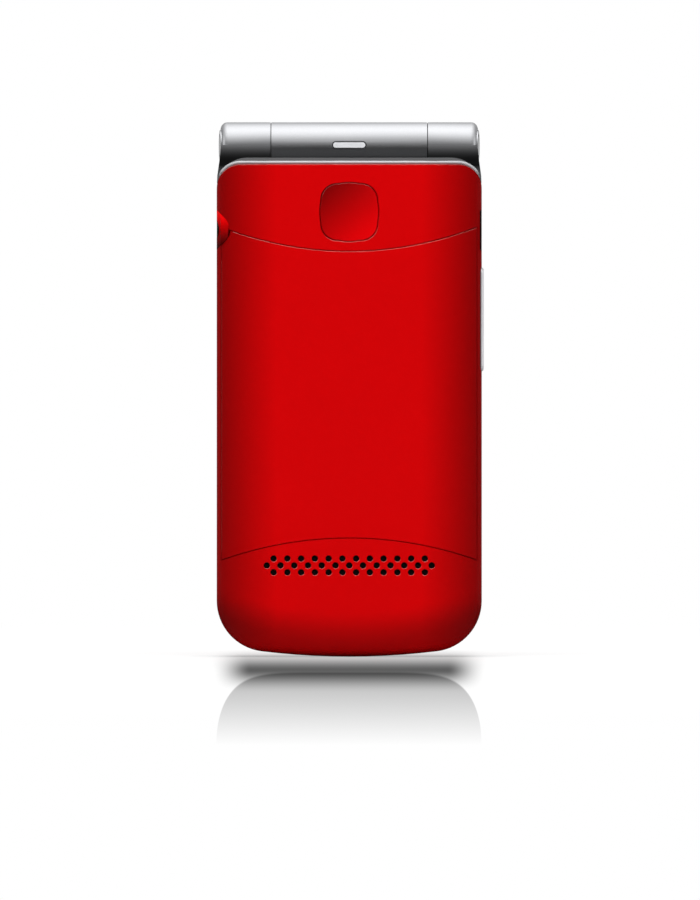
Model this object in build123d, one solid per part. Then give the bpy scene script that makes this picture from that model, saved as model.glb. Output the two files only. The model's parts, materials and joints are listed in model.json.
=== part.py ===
from build123d import *
from math import atan2, cos, degrees, pi, sin, sqrt
import os

# A clamshell phone, closed and standing on its lower edge, in millimetres.
# +X is right seen from behind, +Y points out of the lid, +Z runs up towards the hinge.
# The base (keypad half) faces -Y with its battery cover; the lid (display half) faces +Y.

# ---------------------------------------------------------------- driving dimensions
PHONE_WIDTH = 52.0
PHONE_HEIGHT = 105.0
CLOSED_THICKNESS = 19.5
BASE_THICKNESS = 11.0
HALVES_GAP = 0.4
WALL = 1.2
FIT_GAP = 0.1  # clearance between mouldings that close on each other
SEAM_GAP = 0.16  # visible joint line round covers and knuckles

# outline of both halves, seen from behind
HEEL_RADIUS = 142.0  # shallow arc of the lower edge
HEEL_CORNER = 10.0
SHELL_TOP_DROP = 8.6  # from the top of the hinge to the upper end of the red shells
SHELL_TOP_CORNER = 4.6
LIP_RISE = 1.4  # silver lips beyond the red shells
LIP_TOP_CORNER = 6.0
LIP_LENGTH = 3.8  # the lips run out this far down the sides

# rolled edges: two tangent curves from the flat back to the upright side
ROLL_WIDTH = 9.5
BASE_ROLL_DEPTH = 5.75
BASE_ROLL_RADIUS = 3.6  # tighter curve where the roll meets the side
LID_ROLL_DEPTH = 5.2
LID_ROLL_RADIUS = 3.3

# silver bands between the two red shells
BAND_THICKNESS = 1.0
LIP_SETBACK = 2.15  # lips lie this far below the flat backs
LIP_ROLL_RADIUS = 2.2
SKIRT_DEPTH = 1.35  # tongue of each silver housing inside its red shell
SKIRT_THICKNESS = 0.8

# hinge
BARREL_RADIUS = 4.6
BARREL_MARGIN = 10.7  # from each side of the phone to the barrel's ends
BARREL_CLEARANCE = 0.3
EAR_INSET = 0.74  # of the end faces from the sides, on the hinge axis
EAR_END_TILT = 4.5  # degrees, end faces turned towards the back
EAR_RIM_RADIUS = 1.3
EAR_FLARE = [(0.85, 0.0), (0.55, 2.8), (0.1, 6.0), (0.03, 7.8)]  # inset and drop from the axis
CAP_RADIUS = 3.05
CAP_THICKNESS = 1.0
CAP_PROUD = 0.2
BARREL_BORE = 3.6
RUNNING_GAP = 0.05
SHAFT_RADIUS = 1.6
SHAFT_KEY = (2.5, 1.6)  # radius and half thickness of the flatted head
SHAFT_START = 3.4  # on the left, from the centre plane
SHAFT_END_INSET = 2.0
CAN_START = 2.6
CAN_END_GAP = 0.3  # inside the barrel's end
CAN_RADIUS = 3.5
CAN_WALL = 0.4
BUSH_START = 8.0  # on the right, from the centre plane
BUSH_END_INSET = 3.6
BUSH_BORE = 2.7
SPRING_RADIUS = 2.35
SPRING_WIRE = 0.35
FLEX_COIL_RADIUS = 1.7
FLEX_THICKNESS = 0.2
FLEX_WIDTH = 3.8
FLEX_START_GAP = 2.14  # beyond the knuckle's inner face

# battery cover and bay
COVER_TOP_DROP = 25.65  # cover edges on the centre line
COVER_FOOT = 23.4
COVER_TOP_ARC = 68.0
COVER_FOOT_ARC = 74.0
COVER_THICKNESS = 1.1
COVER_SEAM_DEPTH = 3.3  # side seam of the cover, below the flat back
LEDGE_THICKNESS = 0.85
BAY_MARGIN = 7.4  # from each side of the phone
BAY_FOOT_MARGIN = 1.8  # from the cover's edges on the centre line
BAY_TOP_MARGIN = 2.15
BAY_WALL = 0.8
BAY_FLOOR_THICKNESS = 0.8
BATTERY_SIDE_GAP = 0.3
BATTERY_THICKNESS = 4.6
BATTERY_CORNER = 1.2
BATTERY_END_GAP = 0.3
CATCH_SIZE = (3.0, 0.7, 1.6)  # width, thickness and depth of the cover's catch ribs
CATCH_X = (9.0, 15.0)
SIM_SIZE = (16.2, 15.4)
SIM_PLACE = (-6.9, 17.5)  # centre across, and drop below the bay's upper end
CONTACT_HALF_WIDTH = 5.2
CONTACT_PITCH = 3.6
BAY_POST_INSET = (4.6, 5.5)  # from the bay's corners

MOTOR_RADIUS = 4.0

# loudspeaker grille: three staggered rows
GRILLE_Z = 17.96
GRILLE_PITCH = 2.69
GRILLE_HOLE_RADIUS = 0.625
GRILLE_LONG_ROW = 13

# emergency key on the back
SOS_DROP = 17.9
SOS_SIZE = 11.4
SOS_CORNER = 3.7
SOS_BOW = 0.22  # how far each side of the key bows out
SOS_DISH = 0.35
SOS_TRAVEL = 0.35
SOS_FLANGE = (0.7, 0.6)  # overhang and thickness
SOS_STEM_LENGTH = 4.35  # from the flat back

# side fittings share one centre plane
PORT_DEPTH = 6.0  # below the flat back
JACK_DROP = 21.3
JACK_BOSS_RADIUS = 3.9
JACK_BOSS_INSET = 0.4
JACK_BOSS_TILT = 5.5  # degrees, mouth turned slightly towards the back
JACK_BORE_RADIUS = 1.75
JACK_BORE_LENGTH = 13.4
JACK_BODY_INSET = 1.4
JACK_BODY_LENGTH = 14.0
JACK_BODY_SIZE = (4.2, 6.0)
USB_DROP = 21.4
USB_OPENING = (7.5, 2.86)
USB_SHELL = (7.3, 2.7)
USB_CAVITY = (6.9, 2.0)
USB_MOUTH_INSET = 0.5
USB_LENGTH = 5.3
ROCKER_DROP = 38.85
ROCKER_SIZE = (20.4, 3.0)
ROCKER_PROUD = 0.35
ROCKER_BACK_INSET = 2.5
ROCKER_SWITCH_GAP = 0.25
ROCKER_PIVOT_RADIUS = 0.45  # rib along Y at the back of the rocker
ROCKER_FLANGE = (0.6, 3.2, 0.5)  # thickness, width and overhang beyond each end

# board and keypad
MIC_Z = 7.6
BOARD_THICKNESS = 0.8
BOARD_INSET = 1.8
BOARD_TOP_DROP = 10.8
FASCIA_TOP_DROP = 10.4
FASCIA_THICKNESS = 0.6
FASCIA_MARGIN = 0.9
KEY_GAP = 0.2
KEY_ROOM = 0.1  # between the outer key flanges and the window behind the fascia
KEY_ROWS_GAP = 7.4  # between the call keys and the first digit row
KEY_PROUD = 0.1
KEY_FLANGE = 0.35
KEY_FLANGE_THICKNESS = 0.5
KEY_TRAVEL = 0.3
MAT_THICKNESS = 0.3
MAT_LAP = 1.3  # mat and its rim beyond the key window
DOME_SHEET_THICKNESS = 0.1
DOME_HEIGHT = 0.2
DOME_RADIUS = 1.9
PLUNGER_RADIUS = 0.9
DIGIT_GAP = (1.1, 1.6)  # between neighbouring digit keys, across and along
DIGIT_MARGIN = 1.2  # from the digit keys to the foot of the window behind them
NAV_DROP = 28.2
NAV_SIZE = (16.6, 20.6)
NAV_DOMES = (6.0, 7.4)  # dome switches under the ring, across and along
SELECT_SIZE = 7.4
SOFT_KEY_HEIGHT = 7.0
SOFT_KEY_RISE = 7.2  # above the centre of the navigation ring
SOFT_KEY_SPAN = (1.5, 5.8)  # from the ring's edge, to this far inside the phone's side
CALL_KEY_HEIGHT = 9.6
CALL_KEY_FALL = 3.8
CALL_KEY_SPAN = (1.3, 6.8)
KEY_WINDOW_MARGIN = 5.25  # from each side of the phone
KEY_WINDOW_FOOT = 13.2
KEY_WINDOW_RISE = 11.8  # above the centre of the navigation ring

DIGIT_NAMES = ["1", "2", "3", "4", "5", "6", "7", "8", "9", "star", "0", "hash"]

# screws
SCREW_HEAD_RADIUS = 1.25
SCREW_HEAD_HEIGHT = 0.7
SCREW_RADIUS = 0.7
SCREW_BOSS_RADIUS = 1.5
BASE_SCREW_INSET = 3.7
BASE_SCREW_DROP = 26.7
BASE_SCREW_FOOT = 24.0
BASE_SCREW_HEAD_Y = -6.2
SCREW_CUP_RADIUS = 1.95
SCREW_CUP_END = -4.7
LID_SCREW_HEAD_Y = 2.1
LID_TOP_SCREW = (3.4, 20.0)  # inset from the side and drop from the top
LID_FOOT_SCREW = (5.0, 8.0)  # inset from the side and height
BUMPER_RADIUS = 1.9

# lid openings
SCREEN_MARGIN = 4.0  # window from each side of the phone
SCREEN_DROP = 28.0  # window's upper edge
SCREEN_FOOT = 15.0  # window's lower edge
SCREEN_BORDER = (3.2, 5.9)  # from the window's edge to the opening behind it
SCREEN_MODULE_BORDER = (1.0, 2.0)
GLASS_THICKNESS = 0.8
OUTER_WINDOW = (31.0, 37.0)
OUTER_WINDOW_DROP = 44.0
OUTER_BORDER = (3.0, 4.0)
OUTER_MODULE_BORDER = (2.0, 3.0)
CAMERA_DROP = 16.6
CAMERA_RING_RADIUS = 3.6
CAMERA_BODY = (4.2, 3.4, 8.4)  # below and above the lens, and width
CAMERA_LENS_DEPTH = 0.35
DISPLAY_THICKNESS = 2.1
LID_BOARD_MARGIN = 6.0
LID_BOARD_DROP = 13.0
LID_BOARD_FOOT = 22.0
CAMERA_LENS_RADIUS = 2.7
EARPIECE_Z = 9.2
EARPIECE_SLOT = (9.0, 1.3)

# light bar in the hinge barrel
LIGHT_BAR = (6.3, 1.05)
LIGHT_BAR_PROUD = 0.15

# ---------------------------------------------------------------- derived levels
HALF_WIDTH = PHONE_WIDTH / 2
BOARD_TOP = PHONE_HEIGHT - BOARD_TOP_DROP
FASCIA_TOP = PHONE_HEIGHT - FASCIA_TOP_DROP
SHELL_TOP = PHONE_HEIGHT - SHELL_TOP_DROP
LIP_TOP = SHELL_TOP + LIP_RISE
LIP_FOOT = SHELL_TOP - LIP_LENGTH
EAR_END = HALF_WIDTH - EAR_INSET
BACK_Y = -CLOSED_THICKNESS / 2
FRONT_Y = CLOSED_THICKNESS / 2
KEYPAD_Y = BACK_Y + BASE_THICKNESS
SCREEN_Y = KEYPAD_Y + HALVES_GAP
BASE_PARTING_Y = KEYPAD_Y - BAND_THICKNESS
LID_PARTING_Y = SCREEN_Y + BAND_THICKNESS
AXIS_Y = KEYPAD_Y + HALVES_GAP / 2
AXIS_Z = PHONE_HEIGHT - BARREL_RADIUS
BARREL_END = HALF_WIDTH - BARREL_MARGIN
EAR_START = BARREL_END + SEAM_GAP
SWEEP_RADIUS = BARREL_RADIUS + BARREL_CLEARANCE
SHAFT_SPAN = (SHAFT_START, HALF_WIDTH - SHAFT_END_INSET)
CAN_SPAN = (CAN_START, BARREL_END - CAN_END_GAP)
BUSH_SPAN = (BUSH_START, HALF_WIDTH - BUSH_END_INSET)
FLEX_X = (EAR_START + FLEX_START_GAP, EAR_START + FLEX_START_GAP + FLEX_WIDTH)
COVER_TOP = PHONE_HEIGHT - COVER_TOP_DROP
BAY_WIDTH = PHONE_WIDTH - 2 * BAY_MARGIN
BAY_FOOT = COVER_FOOT + BAY_FOOT_MARGIN
BAY_TOP = COVER_TOP - BAY_TOP_MARGIN
BATTERY_WIDTH = BAY_WIDTH - 2 * BATTERY_SIDE_GAP
SIM_X = (SIM_PLACE[0] - SIM_SIZE[0] / 2, SIM_PLACE[0] + SIM_SIZE[0] / 2)
SIM_Z = (BAY_TOP - SIM_PLACE[1] - SIM_SIZE[1] / 2, BAY_TOP - SIM_PLACE[1] + SIM_SIZE[1] / 2)
CONTACT_X = (-CONTACT_HALF_WIDTH, CONTACT_HALF_WIDTH)
BAY_POSTS = [(BAY_WIDTH / 2 - BAY_POST_INSET[0], BAY_FOOT + BAY_POST_INSET[1]),
             (BAY_WIDTH / 2 - BAY_POST_INSET[0], BAY_TOP - BAY_POST_INSET[1])]
SOS_Z = PHONE_HEIGHT - SOS_DROP
JACK_Z = PHONE_HEIGHT - JACK_DROP
JACK_BOSS_END = HALF_WIDTH - JACK_BOSS_INSET
JACK_BODY = (HALF_WIDTH - JACK_BODY_INSET - JACK_BODY_LENGTH, HALF_WIDTH - JACK_BODY_INSET)
USB_Z = PHONE_HEIGHT - USB_DROP
USB_SPAN = (HALF_WIDTH - USB_MOUTH_INSET - USB_LENGTH, HALF_WIDTH - USB_MOUTH_INSET)
ROCKER_Z = PHONE_HEIGHT - ROCKER_DROP
ROCKER_BACK_X = HALF_WIDTH - ROCKER_BACK_INSET
NAV_Z = PHONE_HEIGHT - NAV_DROP
KEY_WINDOW_WIDTH = PHONE_WIDTH - 2 * KEY_WINDOW_MARGIN
KEY_WINDOW_TOP = NAV_Z + KEY_WINDOW_RISE
SOFT_KEY = (HALF_WIDTH - NAV_SIZE[0] / 2 - sum(SOFT_KEY_SPAN), SOFT_KEY_HEIGHT)
SOFT_KEY_AT = (NAV_SIZE[0] / 2 + SOFT_KEY_SPAN[0] + SOFT_KEY[0] / 2, NAV_Z + SOFT_KEY_RISE)
CALL_KEY = (HALF_WIDTH - NAV_SIZE[0] / 2 - sum(CALL_KEY_SPAN), CALL_KEY_HEIGHT)
CALL_KEY_AT = (NAV_SIZE[0] / 2 + CALL_KEY_SPAN[0] + CALL_KEY[0] / 2, NAV_Z - CALL_KEY_FALL)
DIGIT_TOP = CALL_KEY_AT[1] - CALL_KEY[1] / 2 - KEY_ROWS_GAP
DIGIT_FOOT = KEY_WINDOW_FOOT + DIGIT_MARGIN
DIGIT_WIDTH_SPAN = KEY_WINDOW_WIDTH - 2 * KEY_FLANGE - 2 * KEY_ROOM
DIGIT_KEY = ((DIGIT_WIDTH_SPAN - 2 * DIGIT_GAP[0]) / 3, (DIGIT_TOP - DIGIT_FOOT - 3 * DIGIT_GAP[1]) / 4)
DIGIT_PITCH = (DIGIT_KEY[0] + DIGIT_GAP[0], DIGIT_KEY[1] + DIGIT_GAP[1])
DIGIT_TOP_ROW_Z = DIGIT_TOP - DIGIT_KEY[1] / 2
BASE_SCREWS = [(HALF_WIDTH - BASE_SCREW_INSET, PHONE_HEIGHT - BASE_SCREW_DROP),
               (HALF_WIDTH - BASE_SCREW_INSET, BASE_SCREW_FOOT)]
LID_SCREWS = [(HALF_WIDTH - LID_TOP_SCREW[0], PHONE_HEIGHT - LID_TOP_SCREW[1]),
              (HALF_WIDTH - LID_FOOT_SCREW[0], LID_FOOT_SCREW[1])]
SCREEN_WINDOW = (PHONE_WIDTH - 2 * SCREEN_MARGIN, PHONE_HEIGHT - SCREEN_DROP - SCREEN_FOOT)
SCREEN_WINDOW_Z = SCREEN_FOOT + SCREEN_WINDOW[1] / 2
OUTER_WINDOW_Z = PHONE_HEIGHT - OUTER_WINDOW_DROP
CAMERA_Z = PHONE_HEIGHT - CAMERA_DROP
PORT_Y = BACK_Y + PORT_DEPTH
MESH_Y = (BACK_Y + WALL, BACK_Y + WALL + 0.2)
SOS_FLANGE_Y = (BACK_Y + WALL + RUNNING_GAP, BACK_Y + WALL + RUNNING_GAP + SOS_FLANGE[1])
SOS_STEM_END = BACK_Y + SOS_STEM_LENGTH
COVER_SEAM_Y = BACK_Y + COVER_SEAM_DEPTH
LEDGE_INSET = COVER_THICKNESS + RUNNING_GAP
BATTERY_BACK_Y = BACK_Y + COVER_THICKNESS + 0.25
BATTERY_FRONT_Y = BATTERY_BACK_Y + BATTERY_THICKNESS
BAY_FLOOR_Y = BATTERY_FRONT_Y + FIT_GAP
BOARD_BACK_Y = PORT_Y + USB_SHELL[1] / 2
BOARD_FRONT_Y = BOARD_BACK_Y + BOARD_THICKNESS
FASCIA_BACK_Y = KEYPAD_Y - FASCIA_THICKNESS
FLANGE_FRONT_Y = FASCIA_BACK_Y - RUNNING_GAP
FLANGE_BACK_Y = FLANGE_FRONT_Y - KEY_FLANGE_THICKNESS
MAT_FRONT_Y = FLANGE_BACK_Y - KEY_TRAVEL - FIT_GAP
SCREEN_BACK_Y = SCREEN_Y + WALL
LID_INNER_Y = FRONT_Y - WALL
LID_BOARD_Y = SCREEN_BACK_Y + DISPLAY_THICKNESS + RUNNING_GAP


# ---------------------------------------------------------------- drawing helpers
def slab(outline, y0, y1):
    """Prism of an outline drawn in X and Z, from y0 to y1."""
    low, high = min(y0, y1), max(y0, y1)
    plane = Plane(origin=(0, high, 0), x_dir=(1, 0, 0), z_dir=(0, -1, 0))
    return extrude(plane * outline, amount=high - low)


def bar(profile, x0, x1):
    """Prism of a profile drawn in Y and Z, from x0 to x1."""
    low, high = min(x0, x1), max(x0, x1)
    plane = Plane(origin=(low, 0, 0), x_dir=(0, 1, 0), z_dir=(1, 0, 0))
    return extrude(plane * profile, amount=high - low)


def rod(radius, x0, x1, y=AXIS_Y, z=AXIS_Z):
    """Cylinder along X."""
    return bar(Pos(y, z) * Circle(radius), x0, x1)


def peg(radius, x, z, y0, y1):
    """Cylinder along Y."""
    return slab(Pos(x, z) * Circle(radius), y0, y1)


def block(x0, x1, y0, y1, z0, z1):
    """Upright box between two corners."""
    size = (abs(x1 - x0), abs(y1 - y0), abs(z1 - z0))
    return Pos((x0 + x1) / 2, (y0 + y1) / 2, (z0 + z1) / 2) * Box(*size)


def pad(width, height, corner, x=0.0, z=0.0):
    """Rounded rectangle in X and Z."""
    return Pos(x, z) * RectangleRounded(width, height, corner)


def within(size, border):
    """Width and height left inside a border on all four sides."""
    return size[0] - 2 * border[0], size[1] - 2 * border[1]


def both(points):
    """Each point with its mirror image across the centre plane."""
    return [(s * x, z) for x, z in points for s in (-1, 1)]


def as_part(shapes):
    """Several separate solids kept together in one node."""
    return Compound(children=[s for group in shapes for s in group.solids()])


# ---------------------------------------------------------------- outline and rolled form
HEEL_CENTRE_X = HALF_WIDTH - HEEL_CORNER
HEEL_CENTRE_Z = HEEL_RADIUS - sqrt((HEEL_RADIUS - HEEL_CORNER) ** 2 - HEEL_CENTRE_X**2)
HEEL_ANGLE = atan2(HEEL_RADIUS - HEEL_CENTRE_Z, HEEL_CENTRE_X)  # corner turn, in radians
TALL = PHONE_HEIGHT + 10.0


def outline(inset, top=TALL):
    """Phone outline in X and Z, moved in by inset, open-ended upwards to top."""
    side = HALF_WIDTH - inset
    corner = HEEL_CORNER - inset
    scale_out = (HEEL_RADIUS - inset) / (HEEL_RADIUS - HEEL_CORNER)
    foot_x = HEEL_CENTRE_X * scale_out
    foot_z = HEEL_RADIUS - (HEEL_RADIUS - HEEL_CENTRE_Z) * scale_out
    mid_x = HEEL_CENTRE_X + corner * cos(HEEL_ANGLE / 2)
    mid_z = HEEL_CENTRE_Z - corner * sin(HEEL_ANGLE / 2)
    edges = [
        Line((-side, top), (-side, HEEL_CENTRE_Z)),
        ThreePointArc((-side, HEEL_CENTRE_Z), (-mid_x, mid_z), (-foot_x, foot_z)),
        ThreePointArc((-foot_x, foot_z), (0, inset), (foot_x, foot_z)),
        ThreePointArc((foot_x, foot_z), (mid_x, mid_z), (side, HEEL_CENTRE_Z)),
        Line((side, HEEL_CENTRE_Z), (side, top)),
        Line((side, top), (-side, top)),
    ]
    return make_face(edges)


def rounded_top(half_width, top, corner):
    """Tall plate in X and Z with its two upper corners rounded."""
    tall = 2 * top
    plate = Pos(0, top - tall / 2) * Rectangle(2 * half_width, tall)
    upper = plate.vertices().sort_by(Axis.Y)[-2:]
    return fillet(upper, corner)


def roll_profile(inset, spec, edge_x):
    """What the rolled edge takes away, drawn in X and Y with the outer edge at edge_x."""
    y_flat, s, depth, side_radius = spec
    side_centre = (edge_x - side_radius, depth)
    rise = (ROLL_WIDTH - side_radius) ** 2 + depth**2 - side_radius**2
    flat_radius = rise / (2 * (depth - side_radius))
    flat_centre = (edge_x - ROLL_WIDTH, flat_radius)
    slope = atan2(side_centre[1] - flat_centre[1], side_centre[0] - flat_centre[0])

    def on(centre, radius, angle):
        x, y = centre[0] + (radius - inset) * cos(angle), centre[1] + (radius - inset) * sin(angle)
        return x, y_flat + s * y

    start = on(flat_centre, flat_radius, -pi / 2)
    mid = on(flat_centre, flat_radius, (slope - pi / 2) / 2)
    joint = on(side_centre, side_radius, slope)
    turn = on(side_centre, side_radius, slope / 2)
    end = on(side_centre, side_radius, 0)
    over = 1.5
    far = [(end[0] + over, end[1]), (end[0] + over, start[1] - s * over), (start[0], start[1] - s * over)]
    curve = [ThreePointArc(start, mid, joint), ThreePointArc(joint, turn, end)]
    return make_face([*curve, *Polyline(end, *far, start).edges()])


def roll_cutters(inset, spec):
    """Cutters that round the sides, the corners and the lower edge in one flowing roll."""
    side_profile = roll_profile(inset, spec, HALF_WIDTH)
    side = extrude(Pos(0, 0, HEEL_CENTRE_Z) * side_profile, amount=TALL)
    corner_axis = Axis((HEEL_CENTRE_X, 0, HEEL_CENTRE_Z), (0, 1, 0))
    corner = revolve(Pos(0, 0, HEEL_CENTRE_Z) * side_profile, corner_axis, degrees(HEEL_ANGLE))
    heel_profile = roll_profile(inset, spec, HEEL_RADIUS)
    heel_axis = Axis((0, 0, HEEL_RADIUS), (0, 1, 0))
    heel_start = (Pos(0, 0, HEEL_RADIUS) * heel_profile).rotate(heel_axis, degrees(HEEL_ANGLE))
    heel = revolve(heel_start, heel_axis, 180 - 2 * degrees(HEEL_ANGLE))
    return [side, corner, heel, mirror(side, about=Plane.YZ), mirror(corner, about=Plane.YZ)]


FORMS = {}
FORM_SPECS = {  # flat face, direction inwards, depth of the roll and its side radius
    "base": (BACK_Y, 1, BASE_ROLL_DEPTH, BASE_ROLL_RADIUS),
    "base_lip": (BACK_Y + LIP_SETBACK, 1, BASE_ROLL_DEPTH - LIP_SETBACK, LIP_ROLL_RADIUS),
    "lid": (FRONT_Y, -1, LID_ROLL_DEPTH, LID_ROLL_RADIUS),
    "lid_lip": (FRONT_Y - LIP_SETBACK, -1, LID_ROLL_DEPTH - LIP_SETBACK, LIP_ROLL_RADIUS),
}


def form(kind, inset, y_end):
    """Rolled solid of one half, moved in by inset, from its flat face to y_end."""
    key = (kind, round(inset, 4), round(y_end, 4))
    if key not in FORMS:
        spec = FORM_SPECS[kind]
        solid = slab(outline(inset), spec[0] + spec[1] * inset, y_end)
        for cutter in roll_cutters(inset, spec):
            solid = solid - cutter
        FORMS[key] = solid
    return FORMS[key]


def shell_top_slab(inset, y0, y1):
    """Everything below the upper end of the red shells, moved in by inset."""
    corner = SHELL_TOP_CORNER - inset
    return slab(rounded_top(HALF_WIDTH - inset, SHELL_TOP - inset, corner), y0, y1)


def lip_top_slab(y0, y1):
    """Everything below the upper end of the silver lips."""
    return slab(rounded_top(HALF_WIDTH, LIP_TOP, LIP_TOP_CORNER), y0, y1)


# ---------------------------------------------------------------- battery cover outline
def cover_outline(grow):
    """Outline of the battery cover, between its two bowed edges."""
    side = HALF_WIDTH + 2
    top_radius, foot_radius = COVER_TOP_ARC - grow, COVER_FOOT_ARC - grow
    top, foot = COVER_TOP + grow, COVER_FOOT - grow
    top_side = top + top_radius - sqrt(top_radius**2 - side**2)
    foot_side = foot - foot_radius + sqrt(foot_radius**2 - side**2)
    edges = [
        ThreePointArc((-side, top_side), (0, top), (side, top_side)),
        Line((side, top_side), (side, foot_side)),
        ThreePointArc((side, foot_side), (0, foot), (-side, foot_side)),
        Line((-side, foot_side), (-side, top_side)),
    ]
    return make_face(edges)


def squircle(size, corner, bow, x, z):
    """Square with rounded corners and slightly bowed sides."""
    half, flat = size / 2, size / 2 - corner
    inner = half - bow
    mid = inner - corner * (1 - sqrt(0.5)) + bow * 0.55
    points = [(-flat, inner), (0, half), (flat, inner), (mid, mid)]
    edges = []
    for quarter in range(4):
        turn = quarter * 90
        a, b, c, d = [Vector(px, pz).rotate(Axis.Z, -turn) for px, pz in points]
        end = Vector(-flat, inner).rotate(Axis.Z, -turn - 90)
        edges += [ThreePointArc(a, b, c), ThreePointArc(c, d, end)]
    return Pos(x, z) * make_face(edges)


# ---------------------------------------------------------------- openings in the base
def jack_boss():
    """Round boss that carries the headset socket's mouth through the rolled side."""
    boss = rod(JACK_BOSS_RADIUS, -HALF_WIDTH, -HALF_WIDTH + 2.3, PORT_Y, JACK_Z)
    boss = boss - block(-HALF_WIDTH + WALL, -20, PORT_Y + 1.0, KEYPAD_Y, JACK_Z - 5, JACK_Z + 5)
    trim = Pos(-JACK_BOSS_END - 5, PORT_Y, JACK_Z) * Rot(0, 0, JACK_BOSS_TILT) * Box(10, 20, 12)
    return boss - trim


def rocker_outline(grow):
    """Side outline of the volume rocker in Y and Z."""
    length, width = ROCKER_SIZE[0] + 2 * grow, ROCKER_SIZE[1] + 2 * grow
    return Pos(PORT_Y, ROCKER_Z) * RectangleRounded(width, length, 1.2 + grow)


def grille_holes():
    """Staggered rows of holes over the loudspeaker."""
    holes = []
    for row, count in ((-1, GRILLE_LONG_ROW - 1), (0, GRILLE_LONG_ROW), (1, GRILLE_LONG_ROW - 1)):
        for i in range(count):
            x = (i - (count - 1) / 2) * GRILLE_PITCH
            z = GRILLE_Z + row * GRILLE_PITCH / 2
            holes.append(peg(GRILLE_HOLE_RADIUS, x, z, BACK_Y - 1, BACK_Y + 2))
    return holes


def flex_slot():
    """Passage for the hinge flex cable from the base up into the right knuckle."""
    return block(FLEX_X[0] - 0.4, FLEX_X[1] + 0.4, AXIS_Y - 2.35, AXIS_Y - 1.35,
                 SHELL_TOP - 2.4, AXIS_Z - 0.8)


def barrel_room():
    """Room that the lid's hinge barrel turns in."""
    return rod(SWEEP_RADIUS, -EAR_START, EAR_START)


# ---------------------------------------------------------------- base shells
def make_base_rear_housing():
    shell = form("base", 0, BASE_PARTING_Y) & shell_top_slab(0, BACK_Y, BASE_PARTING_Y)
    shell = shell - (form("base", WALL, BASE_PARTING_Y) & shell_top_slab(WALL, BACK_Y, BASE_PARTING_Y))
    recess = slab(cover_outline(SEAM_GAP), BACK_Y - 1, COVER_SEAM_Y + SEAM_GAP)
    shell = shell - (recess - form("base", LEDGE_INSET, BASE_PARTING_Y))
    ledge = form("base", LEDGE_INSET, BASE_PARTING_Y)
    ledge = ledge - form("base", LEDGE_INSET + LEDGE_THICKNESS, BASE_PARTING_Y)
    ledge = ledge & slab(cover_outline(1.0), BACK_Y, COVER_SEAM_Y + 0.9)
    housing = shell + ledge
    # bay
    half, mid_z = BAY_WIDTH / 2, (BAY_FOOT + BAY_TOP) / 2
    bay_height = BAY_TOP - BAY_FOOT
    floor_front = BAY_FLOOR_Y + BAY_FLOOR_THICKNESS
    outer = block(-half - BAY_WALL, half + BAY_WALL, BACK_Y + 1.75, floor_front,
                  BAY_FOOT - BAY_WALL, BAY_TOP + BAY_WALL)
    bay = slab(pad(BAY_WIDTH, bay_height, BATTERY_CORNER + 0.2, 0, mid_z), BACK_Y - 1, BAY_FLOOR_Y)
    posts = [peg(1.5, x, z, floor_front - 0.2, BOARD_BACK_Y) for x, z in both(BAY_POSTS)]
    housing = housing + outer - bay + posts
    housing = housing - block(*SIM_X, BAY_FLOOR_Y - 1, floor_front + 0.1, *SIM_Z)
    housing = housing - block(*CONTACT_X, BAY_FLOOR_Y - 3.2, floor_front + 0.1,
                              BAY_FOOT - BAY_WALL - 0.1, BAY_FOOT + 0.6)
    # screw cups under the cover
    for x, z in both(BASE_SCREWS):
        cup = peg(SCREW_CUP_RADIUS, x, z, BACK_Y, SCREW_CUP_END)
        housing = housing + (cup & form("base", LEDGE_INSET + 0.02, BASE_PARTING_Y))
    for x, z in both(BASE_SCREWS):
        housing = housing - peg(SCREW_HEAD_RADIUS + 0.15, x, z, BACK_Y, BASE_SCREW_HEAD_Y + SCREW_HEAD_HEIGHT)
        housing = housing - peg(SCREW_RADIUS + 0.1, x, z, BACK_Y, 0)
    # catch slots, side fittings, key and grille
    housing = housing - catch_ribs(FIT_GAP)
    housing = housing + jack_boss()
    housing = housing - rod(JACK_BORE_RADIUS, -HALF_WIDTH - 1, -HALF_WIDTH + 4, PORT_Y, JACK_Z)
    jack_y, jack_z = [v / 2 + FIT_GAP for v in JACK_BODY_SIZE]
    housing = housing - block(-JACK_BODY[1] - FIT_GAP, -JACK_BODY[0], PORT_Y - jack_y, PORT_Y + jack_y,
                              JACK_Z - jack_z, JACK_Z + jack_z)
    usb = Pos(PORT_Y, USB_Z) * RectangleRounded(USB_OPENING[1], USB_OPENING[0], 0.7)
    housing = housing - bar(usb, USB_SPAN[0] - FIT_GAP, HALF_WIDTH + 1)
    housing = housing - bar(rocker_outline(SEAM_GAP), HALF_WIDTH - 3, HALF_WIDTH + 1)
    hole = squircle(SOS_SIZE + 2 * SEAM_GAP, SOS_CORNER, SOS_BOW, 0, SOS_Z)
    housing = housing - slab(hole, BACK_Y - 1, BACK_Y + 3)
    housing = housing - grille_holes()
    return housing - barrel_room() - flex_slot()


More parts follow.
